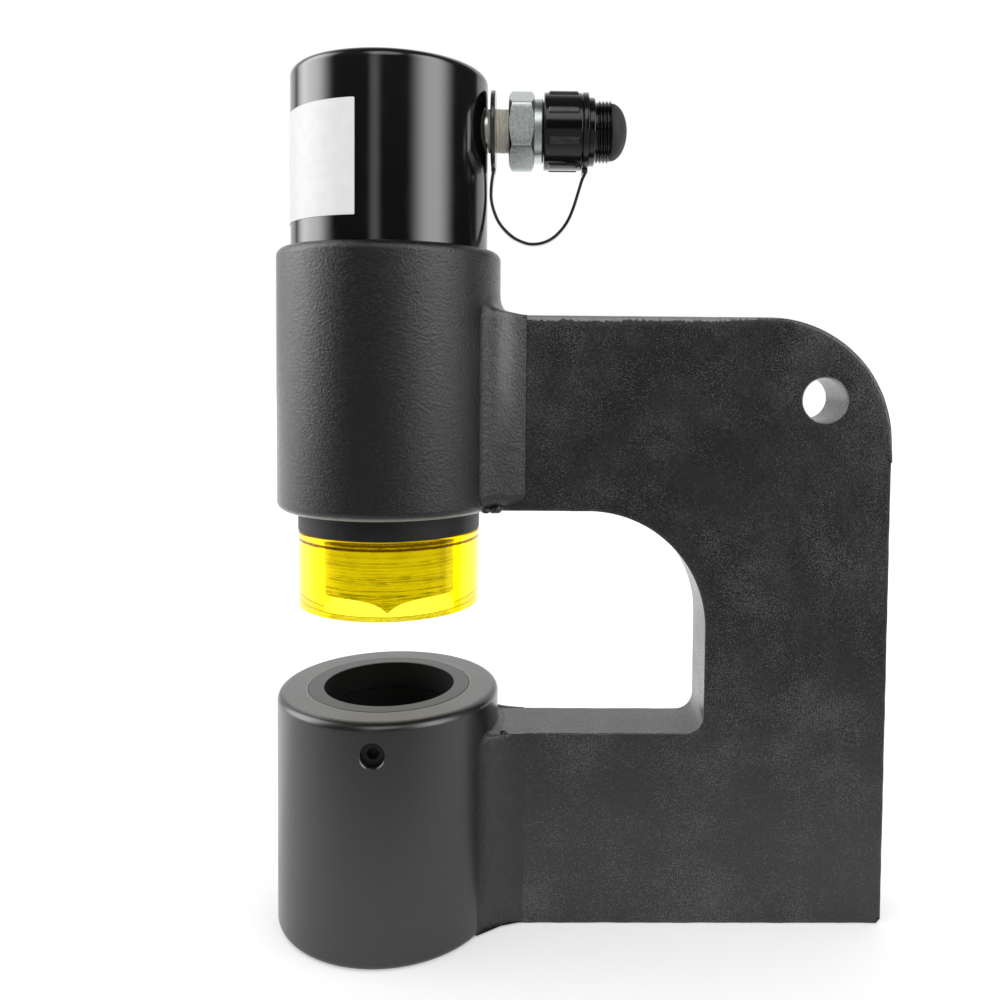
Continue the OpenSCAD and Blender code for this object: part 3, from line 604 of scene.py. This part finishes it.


# Emission_Strength gives the ring a painted glow: light that no lamp casts
@finish(Transmission_Weight=1.0, IOR=1.4, Specular_Tint=(1.0, 0.9, 0.02, 1), Emission_Strength=0.085)
def urethane_yellow(tree):
    """Clear lemon yellow urethane with a faint painted glow, emission that stands in for light, a slight cast
    waviness, amber in its top 3 mm down to a thin brown line that wanders where the ring was trimmed, and a
    dull bore."""
    x, y, z = in_mm(tree).parts()
    wave = in_mm(tree, (1, 1, 1.5)).noise(7.0, 2.0)
    ragged = in_mm(tree).noise(2.5, 4.0, 0.65) + z
    above = ragged.ramp(176.9, 177.8)
    line = (ragged - 177.35).maths("ABSOLUTE").ramp(0.4, 0.9, 1.0, 0.0)
    clear = wave.ramp(0.3, 0.7).mix((1.0, 0.91, 0.30, 1), (1.0, 0.93, 0.36, 1))
    base = line.mix(above.mix(clear, (1.0, 0.70, 0.12, 1)), (0.04, 0.01, 0.0, 1))
    # painted glow: the emission colour, yellow below the trim line, amber above it, dark on the line
    painted_glow = line.mix(above.mix((1.0, 0.90, 0.01, 1), (0.8, 0.55, 0.0, 1)), (0.1, 0.03, 0.0, 1))
    depth = wire(tree, "ShaderNodeVolumeAbsorption", [(0.966, 0.938, 0.03, 1), 170.0])
    feed(tree.nodes["Material Output"].inputs["Volume"], depth)
    return dict(coat(base, x.distance(y).ramp(30.2, 32.0, 0.08, 0.03), wave, 0.05), Emission_Color=painted_glow)


def tinted(one, two, rough_low, rough_high, size=2.0):
    """A simple finish: two close tints, two roughnesses and a fine relief by one noise."""
    def build(tree):
        cloud = in_mm(tree).noise(size, 3.0)
        rough = cloud.ramp(0.3, 0.7, rough_low, rough_high)
        return coat(cloud.ramp(0.3, 0.7).mix(one, two), rough, cloud, 0.01)
    return build


for name, metal, *look in (
    ("bronze", 1.0, (0.55, 0.36, 0.13, 1), (0.7, 0.48, 0.2, 1), 0.25, 0.4),
    ("wiper_blue", 0.0, (0.03, 0.12, 0.30, 1), (0.04, 0.16, 0.38, 1), 0.5, 0.62),
    ("seal_red", 0.0, (0.32, 0.03, 0.02, 1), (0.42, 0.05, 0.03, 1), 0.45, 0.6),
    ("seal_black", 0.0, grey(0.015), grey(0.025), 0.5, 0.65),
    ("white_plastic", 0.0, (0.72, 0.70, 0.64, 1), (0.8, 0.78, 0.72, 1), 0.35, 0.5),
    ("brown_plastic", 0.0, (0.20, 0.11, 0.05, 1), (0.28, 0.16, 0.08, 1), 0.4, 0.5),
    ("spring_steel", 0.9, grey(0.09), grey(0.16), 0.3, 0.45, 3.0)
):
    FINISH[name] = material(name, tinted(*look), Metallic=metal)


def dress(piece, name, body=None, replaced=()):
    """Gives a piece its finish, and a new piece its body, and hides the nodes that it stands for."""
    piece.data.materials.clear()
    piece.data.materials.append(FINISH[name])
    if body:
        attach(piece, body)
    if replaced:
        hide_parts(*replaced)
    return piece


# Frame plate
def plate_outline():
    """The plate seen from the side, as [x, z, corner radius]: back edge with its ledge, top, throat."""
    hidden_x, ledge_x, foot = 47.6, PLATE_BACK - 0.5, 2.0
    return rounded([
        [hidden_x, 0, 0], [ledge_x - foot, 0, 0.4], [ledge_x, foot, 0.4], [ledge_x, 212.7, 0.3],
        [PLATE_BACK, 213.4, 0.3], [PLATE_BACK, PLATE_TOP, CORNER_ROUND], [hidden_x, PLATE_TOP, 0],
        [hidden_x, HOUSING_LOW, 0], [THROAT_X, HOUSING_LOW, THROAT_ROUND], [THROAT_X, FLOOR, 8.5],
        [hidden_x, FLOOR, 0]
    ], True, 0.4)


def filled_in(outline, longest):
    """The same closed outline with its long sides parted into short ones."""
    ends = np.roll(outline, -1, axis=0)
    parts = np.maximum(1, np.ceil(np.linalg.norm(ends - outline, axis=1) / longest)).astype(int)
    return np.vstack([
        a + (b - a) * (np.arange(n) / n)[:, None] for a, b, n in zip(outline, ends, parts)
    ])


def inward(outline):
    """Mitred inward offsets of one unit for a closed outline that runs counterclockwise."""
    after = unit(np.roll(outline, -1, axis=0) - outline)
    n2 = np.stack([-after[:, 1], after[:, 0]], -1)
    n1 = np.roll(n2, 1, axis=0)
    return (n1 + n2) / (1 + (n1 * n2).sum(1, keepdims=True))


def plate_surface():
    """The outline carried across the thickness: y runs from the front to the back face, and near both
    faces the section rounds inwards by an edge radius that wanders a little along the cut and is larger
    where the top and the back corner are worn. Each point also gets a mark that says how worn it is."""
    outline = filled_in(plate_outline(), 3.0)
    offset = inward(outline)
    run = np.cumsum(np.linalg.norm(outline - np.roll(outline, 1, axis=0), axis=1))
    x, z = outline.T
    worn_top = np.clip((z - PLATE_TOP + 4) / 4, 0, 1) * np.clip((190 - x) / 40, 0, 1)
    worn_corner = np.clip((z - 216) / 10, 0, 1) * np.clip((x - 165) / 30, 0, 1)
    wander = 0.18 * np.sin(run / 5.1) * np.sin(run / 13.7 + 1) + 0.12 * np.sin(run / 2.3 + 2)
    edge_r = 0.75 + wander + 1.3 * worn_top + 1.2 * worn_corner
    turn = np.linspace(0, math.pi / 2, 6)
    across, into = 1 - np.sin(turn), 1 - np.cos(turn)
    inset = np.concatenate([[2.6], across, [0, 0, 0], across[::-1], [2.6]])
    depth = np.concatenate([[0], into, [1.5, 0, -1.5], -into[::-1], [0]])
    face = np.repeat([-PLATE_HALF, 0, PLATE_HALF], [8, 1, 8])
    near_edge = np.linspace(0.3, 1, 6)
    shown = np.concatenate([[0.0], near_edge, [0.35, 0.2, 0.35], near_edge[::-1], [0.0]])
    marks = shown[:, None] ** (1 - 0.6 * worn_top) * (1 + 0.6 * worn_top)
    flat = outline[None] + offset[None] * (inset[:, None] * edge_r)[..., None]
    walls = np.stack([flat[..., 0], face[:, None] + depth[:, None] * edge_r, flat[..., 1]], -1)
    hole, hole_marks = rounded_hole()
    bm = bmesh.new()
    add_band(bm, walls, marks)
    add_band(bm, hole, hole_marks)
    for row in (0, -1):
        outer, inner = walls[row], hole[row]
        loops = [[(p[0], p[2], 0) for p in outer], [(p[0], p[2], 0) for p in inner]]
        corners = [bm.verts.new(p) for p in np.vstack([outer, inner]) * MM]
        for a, b, c in tessellate_polygon(loops):
            bm.faces.new([corners[k] for k in ((a, b, c) if row == 0 else (a, c, b))])
    bmesh.ops.remove_doubles(bm, verts=bm.verts, dist=2e-6)
    bmesh.ops.recalc_face_normals(bm, faces=bm.faces)
    return finish_mesh("frame_plate_cut", bm, 35)


def rounded_hole(sides=120, chamfer=0.7):
    """The hanging hole as rings from front to back, its chamfers eased at both ends, with their marks."""
    turn = circle(sides)
    wider = [chamfer + 0.5, chamfer, chamfer * 0.5, 0.05]
    radius = HOLE_R + np.array(wider + [0] + wider[::-1])
    ease = np.array([0, 0.04, chamfer * 0.5, chamfer])
    place = np.concatenate([ease - PLATE_HALF, [0], PLATE_HALF - ease[::-1]])
    marks = np.array([0, 0.7, 1.3, 0.9, 0.2, 0.9, 1.3, 0.7, 0])
    across = radius[:, None, None] * np.stack([np.cos(turn), np.sin(turn)], -1)
    grid = np.stack(np.broadcast_arrays(across[..., 0] + HOLE_X, place[:, None], across[..., 1] + HOLE_Z), -1)
    return grid, np.repeat(marks[:, None], sides, axis=1)


def add_band(bm, grid, marks):
    """Adds an open band of quads over the grid, with the edge mark at each point."""
    layer = bm.verts.layers.float.get("edge") or bm.verts.layers.float.new("edge")
    rows, columns = grid.shape[:2]
    corners = [bm.verts.new(p) for p in (grid.reshape(-1, 3) * MM).tolist()]
    for corner, mark in zip(corners, marks.reshape(-1).tolist()):
        corner[layer] = mark
    for i in range(rows - 1):
        for j in range(columns):
            k = (j + 1) % columns
            bm.faces.new([corners[n] for n in (i * columns + j, i * columns + k,
                                               (i + 1) * columns + k, (i + 1) * columns + j)])


dress(plate_surface(), "plate_paint", "frame", ["frame_plate"])


# Welds
def weld_surface(name, low, high, leg, curl, bead):
    """A hollow weld carried up the plate's front edge, over its top and down its back edge. Across the
    path each section is a cubic curve that leaves the tube along its skin, and on the plate's sides it
    ends in a rounded toe that stands proud by the share called bead. It closes through a sunk root."""
    ground_r, root_depth, up_rows = 24.0, 1.6, 60
    reach = PLATE_HALF + ground_r
    seam_x = math.sqrt((TUBE_R + ground_r) ** 2 - reach ** 2)
    far, near = math.atan2(reach, seam_x), math.asin(PLATE_HALF / TUBE_R)
    climb = np.linspace(low, high, up_rows)
    corner = np.linspace(0, math.pi / 2, 14)[1:-1]
    over = np.linspace(-1, 1, 25)[:12]
    side_rows, later = up_rows + len(corner), len(corner) + len(over)

    angle = np.concatenate([np.full(up_rows, far), near + (far - near) * np.cos(corner), near * -over])
    tube_z = np.concatenate([climb, high + leg * np.sin(corner), np.full(len(over), high + leg)])
    pinch = np.ones(up_rows + later)
    if curl:
        pinch[:up_rows] = np.clip((climb - low) / curl, 0, 1) ** 0.5
        angle = near + (angle - near) * pinch
    tube = np.stack([TUBE_R * np.cos(angle), -TUBE_R * np.sin(angle), tube_z], -1)

    flat_y = np.concatenate([np.full(side_rows, -PLATE_HALF), PLATE_HALF * over])
    flat_z = np.concatenate([climb, np.full(later, high)])
    root_angle = np.concatenate([np.full(side_rows, near), near * -over])
    root_r = np.where(tube_z < high, TUBE_R + root_depth * pinch, TUBE_R)
    root = np.stack([root_r * np.cos(root_angle), flat_y, flat_z], -1)

    top_x = TUBE_R * math.cos(near) + leg
    flat_x = np.concatenate([np.full(up_rows, seam_x), seam_x + (top_x - seam_x) * np.sin(corner) ** 2,
                             TUBE_R * np.cos(near * over) + leg])
    plate = np.stack([root[:, 0] + (flat_x - root[:, 0]) * pinch, flat_y, flat_z], -1)

    t = np.linspace(0, 1, 19)[None, :, None]
    full = np.concatenate([pinch[:up_rows], np.cos(corner) ** 2, np.zeros(len(over))])[:, None] * bead
    toe = plate + full * [-0.9, -1.7, 0]
    first = tube + (root - tube) * (2 / 3 - 0.36 * full)
    last = toe * full + (plate + (root - plate) * 2 / 3) * (1 - full) + (tube - toe) * 0.4 * full
    face = ((1 - t) ** 3 * tube[:, None] + 3 * t * (1 - t) ** 2 * first[:, None]
            + 3 * t ** 2 * (1 - t) * last[:, None] + t ** 3 * toe[:, None])
    round_off = [(toe + plate) / 2 + full * [0.3 * a, -0.42 * a, 0] + (plate - toe) * b
                 for a, b in ((0.75, -0.25), (1.0, 0.0), (0.75, 0.25))]
    sink = np.stack([root[:, 0] * 0.93, root[:, 1] * 0.9, np.maximum(root[:, 2] - 1.2, 0.2)], -1)
    half = np.concatenate([face, np.stack(round_off, 1), plate[:, None],
                           plate[:, None] * [1, 0.97, 1] - [0, 0, 0.4], sink[:, None],
                           tube[:, None] * [0.985, 0.985, 1]], axis=1)
    return skin(name, np.concatenate([half, half[-1:] * [1, 0, 1], half[::-1] * [1, -1, 1]]), False, 40)


for name, node, sizes in (
    ("upper_weld_ground", "upper_weld", dict(low=191.2, high=PLATE_TOP, leg=10.0, curl=5.0, bead=1.0)),
    ("lower_weld_ground", "lower_weld", dict(low=1.0, high=FLOOR, leg=3.5, curl=0.0, bead=0.25))
):
    dress(weld_surface(name, **sizes), "weld_paint", "frame", [node])


def lump_surface(name, middle, size, phase):
    """A drop of weld left at a seam's end: an ellipsoid whose radius swells by a few slow sine waves in
    latitude and longitude."""
    up = np.linspace(-math.pi / 2, math.pi / 2, 33)[:, None]
    turn = circle(64)[None]
    swell = 1 + np.cos(up) * (
        0.14 * np.sin(3 * turn + phase) * np.cos(2 * up) + 0.09 * np.sin(5 * turn + 4 * up + phase)
        + 0.06 * np.cos(9 * turn - 3 * up))
    grid = np.stack(np.broadcast_arrays(np.cos(up) * np.cos(turn), np.cos(up) * np.sin(turn), np.sin(up)), -1)
    return skin(name, grid * swell[..., None] * size + middle, False, 60)


for name, middle, size, phase in (
    ("upper_weld_drop_large", (49.5, -17.0, 191.0), (3.2, 2.2, 1.9), 0.4),
    ("upper_weld_drop_small", (45.6, -20.6, 190.9), (2.0, 1.6, 1.3), 2.1),
    ("lower_weld_drop", (54.0, -15.9, 88.0), (1.9, 1.6, 1.7), 1.2)
):
    dress(lump_surface(name, middle, size, phase), "weld_paint", "frame")


# Tubes, barrel and die
dress(turned("upper_housing_turned", [
    [LIP_R, HOUSING_LOW, 0.6], [TUBE_R, HOUSING_LOW, TUBE_ROUND], [TUBE_R, HOUSING_TOP, TUBE_ROUND],
    [BARREL_R + 0.05, HOUSING_TOP, 0.7], [BARREL_R + 0.05, BARREL_LOW, 0], [LIP_R, BARREL_LOW, 0]
]), "housing_wrinkle", "frame", ["upper_housing"])


def column_surface():
    """The lower tube, turned, with close rows at the lock screw's height where its hole is cut. The hole
    is a stepped round cutter whose radius goes with its depth along Y."""
    seat_r = DIE_R + 0.05
    outer = rounded([
        [SLUG_R, 0, 0], [TUBE_R, 0, 3.0], [TUBE_R, COLUMN_TOP, 3.5], [seat_r, COLUMN_TOP, 0.5],
        [seat_r, DIE_LOW, 0], [SLUG_R, DIE_LOW, 0]
    ], True)
    wall = np.flatnonzero(np.abs(outer[:, 0] - TUBE_R) < 1e-6)
    place = wall[len(wall) // 2]
    near_hole = np.linspace(84, 100, 33)
    rows = np.stack([np.full_like(near_hole, TUBE_R), near_hole], -1)
    column = skin("die_column_turned", about_z(np.vstack([outer[:place], rows, outer[place:]])), True)
    hole = rounded([[0, 32, 0], [5.05, 32, 0], [5.05, 50, 0.5], [6, 50.9, 0], [6, 54, 0], [0, 54, 0]])
    cutter = about_z(hole, 72)[..., [0, 2, 1]] * [1, -1, 1] + [0, 0, LOCK_Z]
    return cut_with(column, skin("lock_hole", cutter))


dress(column_surface(), "column_satin", "frame", ["die_column"])
dress(turned("cylinder_barrel_turned", [
    [BORE_R, BARREL_LOW, 0], [BARREL_R, BARREL_LOW, 1.0], [BARREL_R, BARREL_TOP, 4.0], [0, BARREL_TOP, 0],
    [0, BORE_TOP, 0], [BORE_R, BORE_TOP, 0]
]), "barrel_gloss", "frame", ["cylinder_barrel"])
dress(turned("die_ground", [
    [31, DIE_LOW, 0], [DIE_R, DIE_LOW, 1.0], [DIE_R, GROOVE_LOW, 0], [35.7, GROOVE_LOW, 0],
    [35.7, GROOVE_TOP, 0], [DIE_R, GROOVE_TOP, 0], [DIE_R, COLUMN_TOP, 0.5], [30, COLUMN_TOP, 0.25],
    [30, 94, 0], [31, 93, 0]
]), "die_steel", "frame", ["die"])


def label_surface():
    """A thin film on the barrel: angle along it, height across it, and its corners rounded."""
    start, end = math.radians(155), math.radians(259)
    length, corner = (end - start) * BARREL_R, LABEL_CORNER
    quarter = corner * (1 - np.cos(np.linspace(0, math.pi / 2, 9)))
    s = np.concatenate([quarter, np.linspace(corner, length - corner, 60)[1:-1], length - quarter[::-1]])
    near_end = np.minimum(np.minimum(s, length - s), corner)
    trim = corner - np.sqrt(np.maximum(0, corner ** 2 - (corner - near_end) ** 2))
    half = (LABEL_HIGH - LABEL_LOW) / 2 - trim
    v = np.linspace(-1, 1, 12)
    angle = (start + s / BARREL_R)[:, None]
    z = (LABEL_LOW + LABEL_HIGH) / 2 + half[:, None] * np.concatenate([v, v[::-1]])
    r = BARREL_R + np.repeat([0.32, 0.02], 12)[None]
    return skin("blank_label_film", np.stack([r * np.cos(angle), r * np.sin(angle), z], -1), False, 40)


dress(label_surface(), "label_white", "frame", ["blank_label"])


# Punch holder, punch and stripper ring
dress(turned("punch_holder_turned", [
    [SPIGOT_R, HOLDER_LOW, 0], [HOLDER_R, HOLDER_LOW, 0.8], [HOLDER_R, SHOULDER, 1.5], [SPIGOT_R, SHOULDER, 0]
]), "black_oxide", "ram", ["punch_holder"])


def punch_surface():
    """A turned punch whose end is a hollow-ground roof: from its ridge, a little askew, the lower face
    rises by rise * (1 - e ** (-distance from the ridge / 5 mm))."""
    sides = 2 * ROUND
    turn = circle(sides)
    askew, hollow = math.radians(6.5), 5.0
    screw_r, head_r, head_top = 6.3, 9.3, 162.0

    def roof(r):
        rise = ROOF_RISE * (1 - np.exp(-np.abs(r * np.cos(turn - askew)) / hollow))
        return np.stack([r * np.cos(turn), r * np.sin(turn), PUNCH_LOW + rise], -1)

    end = [roof(r) for r in (*np.linspace(head_r, PUNCH_R - 0.3, 12), PUNCH_R - 0.1)]
    lifted = roof(PUNCH_R) + [0, 0, 0.1]
    wall = np.linspace(0, 1, 12)[:, None, None]
    top = about_z([[PUNCH_R, HOLDER_LOW]], sides)
    inner = about_z([[screw_r, HOLDER_LOW], [screw_r, head_top], [head_r, head_top]], sides)
    return skin("punch_turned", np.concatenate([end, lifted * (1 - wall) + top * wall, inner]), True, 18)


dress(punch_surface(), "punch_steel", "ram", ["punch"])
ring = turned("stripper_ring_cast", [
    [RING_IN, RING_LOW, 0.25], [HOLDER_R, RING_LOW, 0.4], [HOLDER_R, HOLDER_LOW, 0.8],
    [RING_IN, HOLDER_LOW, 0.4]
])
dress(ring, "urethane_yellow", "ram", ["stripper_ring"])
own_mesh(ring)


# Coupler, cap and tether
def nipple_surface():
    """Shank, hexagon, collar, thread and nose about the port's axis. In the hexagon the radius is
    apothem / cos(angle from the flat's middle), and its chamfer rows end where a cone meets it."""
    turn = circle(240)
    off_flat = (turn + math.pi / 6) % (math.pi / 3) - math.pi / 6
    apothem, corner_r, blunt = 16.0, 18.35, 60
    hexagon = ((apothem / np.cos(off_flat)) ** -blunt + corner_r ** -blunt) ** (-1 / blunt)
    low, high, face_r, lean = 54.3, 65.8, 15.6, 0.58
    cone = (hexagon - face_r) * lean
    thread, crest, depth, pitch = np.arange(70.4, 85.6, 0.25), 13.5, 0.9, 3.0
    rows = [
        *rounded([[6, 35, 0.3], [SHANK_R, 35, 1], [SHANK_R, low, 0]]),
        (face_r, low), (hexagon, low + cone), (hexagon, low + cone + 0.15),
        *((hexagon, x) for x in np.linspace(low + 2.6, high - 2.6, 6)),
        (hexagon, high - cone - 0.15), (hexagon, high - cone), (face_r, high),
        *rounded([[14.4, high, 0], [14.4, 69.8, 0.9], [13, 69.8, 0]]),
        *((crest - depth / 2 * (1 + np.cos(2 * math.pi * x / pitch - turn)), x) for x in thread),
        *rounded([[12, 86.8, 0], [9.5, 86.8, 0], [9.5, 91.8, 1], [4, 91.8, 0.3], [4, 87.8, 0],
                  [6, 87.8, 0], [6, 40, 0]])
    ]
    return skin("coupler_nipple_turned", about_port(rows, turn), True, 28)


dress(nipple_surface(), "zinc_plate", "frame", ["coupler_nipple"])


def tape_surface():
    """Wound tape on the shank: the radius rises and falls by the thread below and by its own overlap."""
    turn, start, end, pitch = circle(ROUND), 44.8, 54.15, 1.34
    rows = [(9.72 + 0.12 * np.cos(2 * math.pi * x / pitch - turn) + 0.05 * np.sin(3 * turn + x * 1.7), x)
            for x in np.linspace(start, end, 76)]
    rows += [(SHANK_R - 0.05, end), (SHANK_R - 0.05, start)]
    return skin("thread_tape_wound", about_port(rows, turn), True, 50)


dress(tape_surface(), "sealing_tape", "frame", ["thread_tape"])


def cap_surface():
    """The cap turned about its axis, with eight low ribs raised on the sleeve: a rib is a smooth step
    in the angle from its middle times a smooth step along the sleeve. The outer end is threaded."""
    turn = circle(720)
    first, apart = math.radians(205), math.pi / 4
    off = (turn - first + apart / 2) % apart - apart / 2
    rib = 0.85 * eased((1.6 - np.abs(off) * SLEEVE_R) / 0.5)
    start, end, slope = 72.0, 85.9, 0.8
    sleeve = [71.9, *np.linspace(72.1, 72.9, 6), *np.linspace(74, 84, 6), *np.linspace(85, 85.8, 6), 86.0]
    thread_from, pitch, deep = 94.0, 1.6, 1.0

    def groove(x):
        wave = np.abs(((x - thread_from) / pitch - turn / (2 * math.pi)) % 1 - 0.5) * 2
        return 13.9 - deep * np.clip(1.5 * wave - 0.3, 0, 1)

    rows = [
        *rounded([[0, 92.1, 0], [9.8, 92.1, 0], [9.8, 87.1, 0], [13.8, 87.1, 0], [13.8, 70.1, 0.5],
                  [SLEEVE_R, 70.1, 0.8], [SLEEVE_R, 71.9, 0]])[:-1],
        *((SLEEVE_R + rib * eased(min(x - start, end - x) / slope), x) for x in sleeve),
        *rounded([[SLEEVE_R, 86.1, 0], [SLEEVE_R, 87.3, 0.6], [14.6, 87.3, 0], [14.6, 90.5, 0],
                  [15.3, 90.5, 0.3], [15.3, 93.2, 0.8], [12.9, 93.2, 0], [12.9, 93.9, 0]])[1:],
        *((groove(x), x) for x in np.arange(thread_from, 100.35, 0.1)),
        (13.2, 100.4), (12.9, 100.5), (8.02, 100.5), (8.02, 94.6), (0, 94.6)
    ]
    return skin("dust_cap_moulded", about_port(rows, turn), False, 40)


dress(cap_surface(), "cap_plastic", "cap", ["dust_cap"])


def dome_surface():
    """The rubber plug in the cap's end: a stem and a shallow half ellipse with an eased rim."""
    a = np.linspace(0, math.pi / 2, 24)
    stem = [(0, 94.7), (7.95, 94.7), (7.95, 100.45), (12.5, 100.45)]
    dome = zip(12.85 * np.cos(a), 100.6 + 7.55 * np.sin(a))
    return skin("cap_bulb_moulded", about_port([*stem, *dome], circle(ROUND)), False, 40)


dress(dome_surface(), "bulb_rubber", "cap", ["cap_bulb"])


def tether_ring_surface(name, x, thick, r_in, r_out):
    """A flat ring whose lower side grows into a square lug: the outer radius in direction a is the
    larger of the ring's and that of the lug's sides and foot."""
    turn = circle(360)
    across, down = np.abs(np.cos(turn)), -np.sin(turn)
    half, foot, rim, least = 3.25, 19.0, 0.35, 1e-6
    lug = np.where(down > 0, np.minimum(half / np.maximum(across, least), foot / np.maximum(down, least)), 0)
    outer, far = np.maximum(r_out, lug), x + thick
    rows = [(r_in + rim * 0.3, x), (outer - rim, x), (outer - 0.1, x + 0.1), (outer, x + rim),
            (outer, far - rim), (outer - 0.1, far - 0.1), (outer - rim, far), (r_in + rim * 0.3, far),
            (r_in, far - 0.2), (r_in, x + 0.2)]
    return skin(name, about_port(rows, turn), True, 40)


neck_ring = dress(tether_ring_surface("tether_neck_ring_moulded", 46.2, 2.0, 10.2, 18.0),
                  "cap_plastic", "frame", ["tether_neck_ring"])
cap_ring = dress(tether_ring_surface("tether_cap_ring_moulded", 87.6, 2.6, 14.9, 17.6),
                 "cap_plastic", "cap_carrier", ["tether_cap_ring"])
dress(strap, "cap_plastic", None, ["tether_strap"])
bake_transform(strap)
tuple(strap_path[0] * MM)
(strap_path * MM).tolist()


# Springs
def coil_surface(name, r, thick, turns, length, along_x=False):
    """A round wire wound about an axis with one closer turn at each end and even turns between: the
    height is a sum of straight pieces over the turns."""
    t = np.linspace(0, turns, int(turns * 48) + 1)
    closed = thick + 0.5
    open_turn = (length - thick - 2 * closed) / (turns - 2)
    h = thick / 2 + closed * np.minimum(t, 1) + open_turn * np.clip(t - 1, 0, turns - 2)
    h = h + closed * np.maximum(0, t - turns + 1)
    turn = (t * 2 * math.pi)[:, None]
    section, size = circle(16), thick / 2 - 0.02
    ring_r = r + size * np.cos(section)[None]
    x, y, z = ring_r * np.cos(turn), ring_r * np.sin(turn), h[:, None] + size * np.sin(section)[None]
    if along_x:
        return skin(name, np.stack([z + VALVE_SPRING_FOOT, y, PORT_Z - x], -1), False, 60)
    return skin(name, np.stack([x, y, z + RETURN_SPRING_FOOT], -1), False, 60)


return_coil = dress(coil_surface("return_spring_wound", 28.25, 6.0, 7, 93.9),
                    "spring_steel", "frame", ["return_spring"])
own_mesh(return_coil)
valve_coil = dress(coil_surface("valve_spring_wound", 3.6, 0.8, 5, 11.4, True),
                   "spring_steel", "frame", ["valve_spring"])
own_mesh(valve_coil)

# Solids of the pack that stay, each with a finish
for node, name in {
    "gland": "machined_steel", "guide_bush": "bronze", "rod_wiper": "wiper_blue", "ram": "machined_steel",
    "piston_seal": "seal_red", "backup_ring": "white_plastic", "wear_ring": "brown_plastic",
    "punch_screw": "black_oxide", "lock_pad": "bronze", "lock_screw": "black_oxide",
    "valve_poppet": "bronze", "valve_seal": "seal_black", "valve_guide": "machined_steel",
}.items():
    dress(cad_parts[node], name)


# Floor and light
def floor_finish(tree):
    """White that the camera, gloss and clear pieces see glow. Gloss sees it dark below the camera,
    brighter towards the object and full behind it."""
    camera, glossy, transmitted = rays(tree)
    y = wire(tree, "ShaderNodeTexCoord", out=3).parts()[1]
    near = y.ramp(-0.38, -0.02, 0.34, 1.05) + y.ramp(0.02, 0.1, 0.0, 0.9)
    lit = 1.0 - glossy * (1.0 - near)
    seen = camera.larger(glossy.larger(transmitted))
    white = in_mm(tree).noise(60.0, 2.0).mix(grey(0.80), grey(0.82))
    return dict(Base_Color=lit.mix(grey(0.0), white), Emission_Strength=seen * lit * 0.38)


def floor_sheet():
    """A pale floor just under the part: the light that it lacks is the part's shadow."""
    mesh = bpy.data.meshes.new("floor")
    half, z = 6.0, -0.00005
    corners = [(x * half, y * half, z) for x, y in ((-1, -1), (1, -1), (1, 1), (-1, 1))]
    mesh.from_pydata(corners, [], [(0, 1, 2, 3)])
    floor = bpy.data.objects.new("floor", mesh)
    bpy.context.scene.collection.objects.link(floor)
    floor.data.materials.append(material(
        "floor_white", floor_finish, Roughness=0.9, Specular_IOR_Level=0.0, Emission_Color=grey(1.0)))


def studio_light():
    """The room by direction: white where the camera and clear pieces look, a plain soft level for matt
    surfaces, and for gloss a bright backdrop, a darker camera side and two tall soft boxes."""
    world = bpy.data.worlds.new("studio")
    bpy.context.scene.world = world
    world.use_nodes = True
    tree = world.node_tree
    tree.nodes.clear()
    way = wire(tree, "ShaderNodeTexCoord", out=0)
    x, y, z = way.parts()
    level = wire(tree, "ShaderNodeCombineXYZ", [x, y, 0.0]).vector("NORMALIZE")

    def box_at(azimuth, full, end, low=-0.25, high=0.75, fade=0.12):
        """A soft box: full within one angle of its azimuth, gone at the next, between two heights."""
        a = math.radians(azimuth)
        off = level.vector("DOT_PRODUCT", (math.cos(a), math.sin(a), 0), out=1)
        off = off.maths("MINIMUM", 0.99999).maths("ARCCOSINE")
        wide = off.ramp(math.radians(full), math.radians(end), 1.0, 0.0)
        return wide * (z.ramp(low - 0.12, low + fade) * z.ramp(high - 0.12, high + 0.12, 1.0, 0.0))

    right_box = box_at(-33, 4, 31, fade=0.32)
    left_box = box_at(177, 9, 36, low=-0.15, fade=0.32)
    strip = box_at(-99.5, 1, 9)
    backdrop = box_at(90, 48, 56, -0.6, 0.9)
    overhead = way.vector("DOT_PRODUCT", (0, -0.743, 0.669), out=1).ramp(0.93, 0.98)
    gloss = (backdrop + z.ramp(0.12, 0.5, 0.03, 0.12) + overhead * 2.2
             + right_box * 5.0 + left_box * 5.6 + strip * 1.1)
    soft = right_box * 0.8 + left_box * 0.8 + z.ramp(0.2, 1.0) * 0.35 + 0.72
    camera, glossy, transmitted = rays(tree)
    clear = camera.larger(transmitted)
    strength = clear + (1.0 - clear) * (glossy * gloss + (1.0 - glossy) * soft)
    shown = wire(tree, "ShaderNodeBackground", [(1, 1, 1, 1), strength])
    feed(tree.nodes.new("ShaderNodeOutputWorld").inputs[0], shown)
    world.cycles.sampling_method = "NONE"
    bpy.context.scene.view_settings.view_transform = "Standard"


floor_sheet()
studio_light()
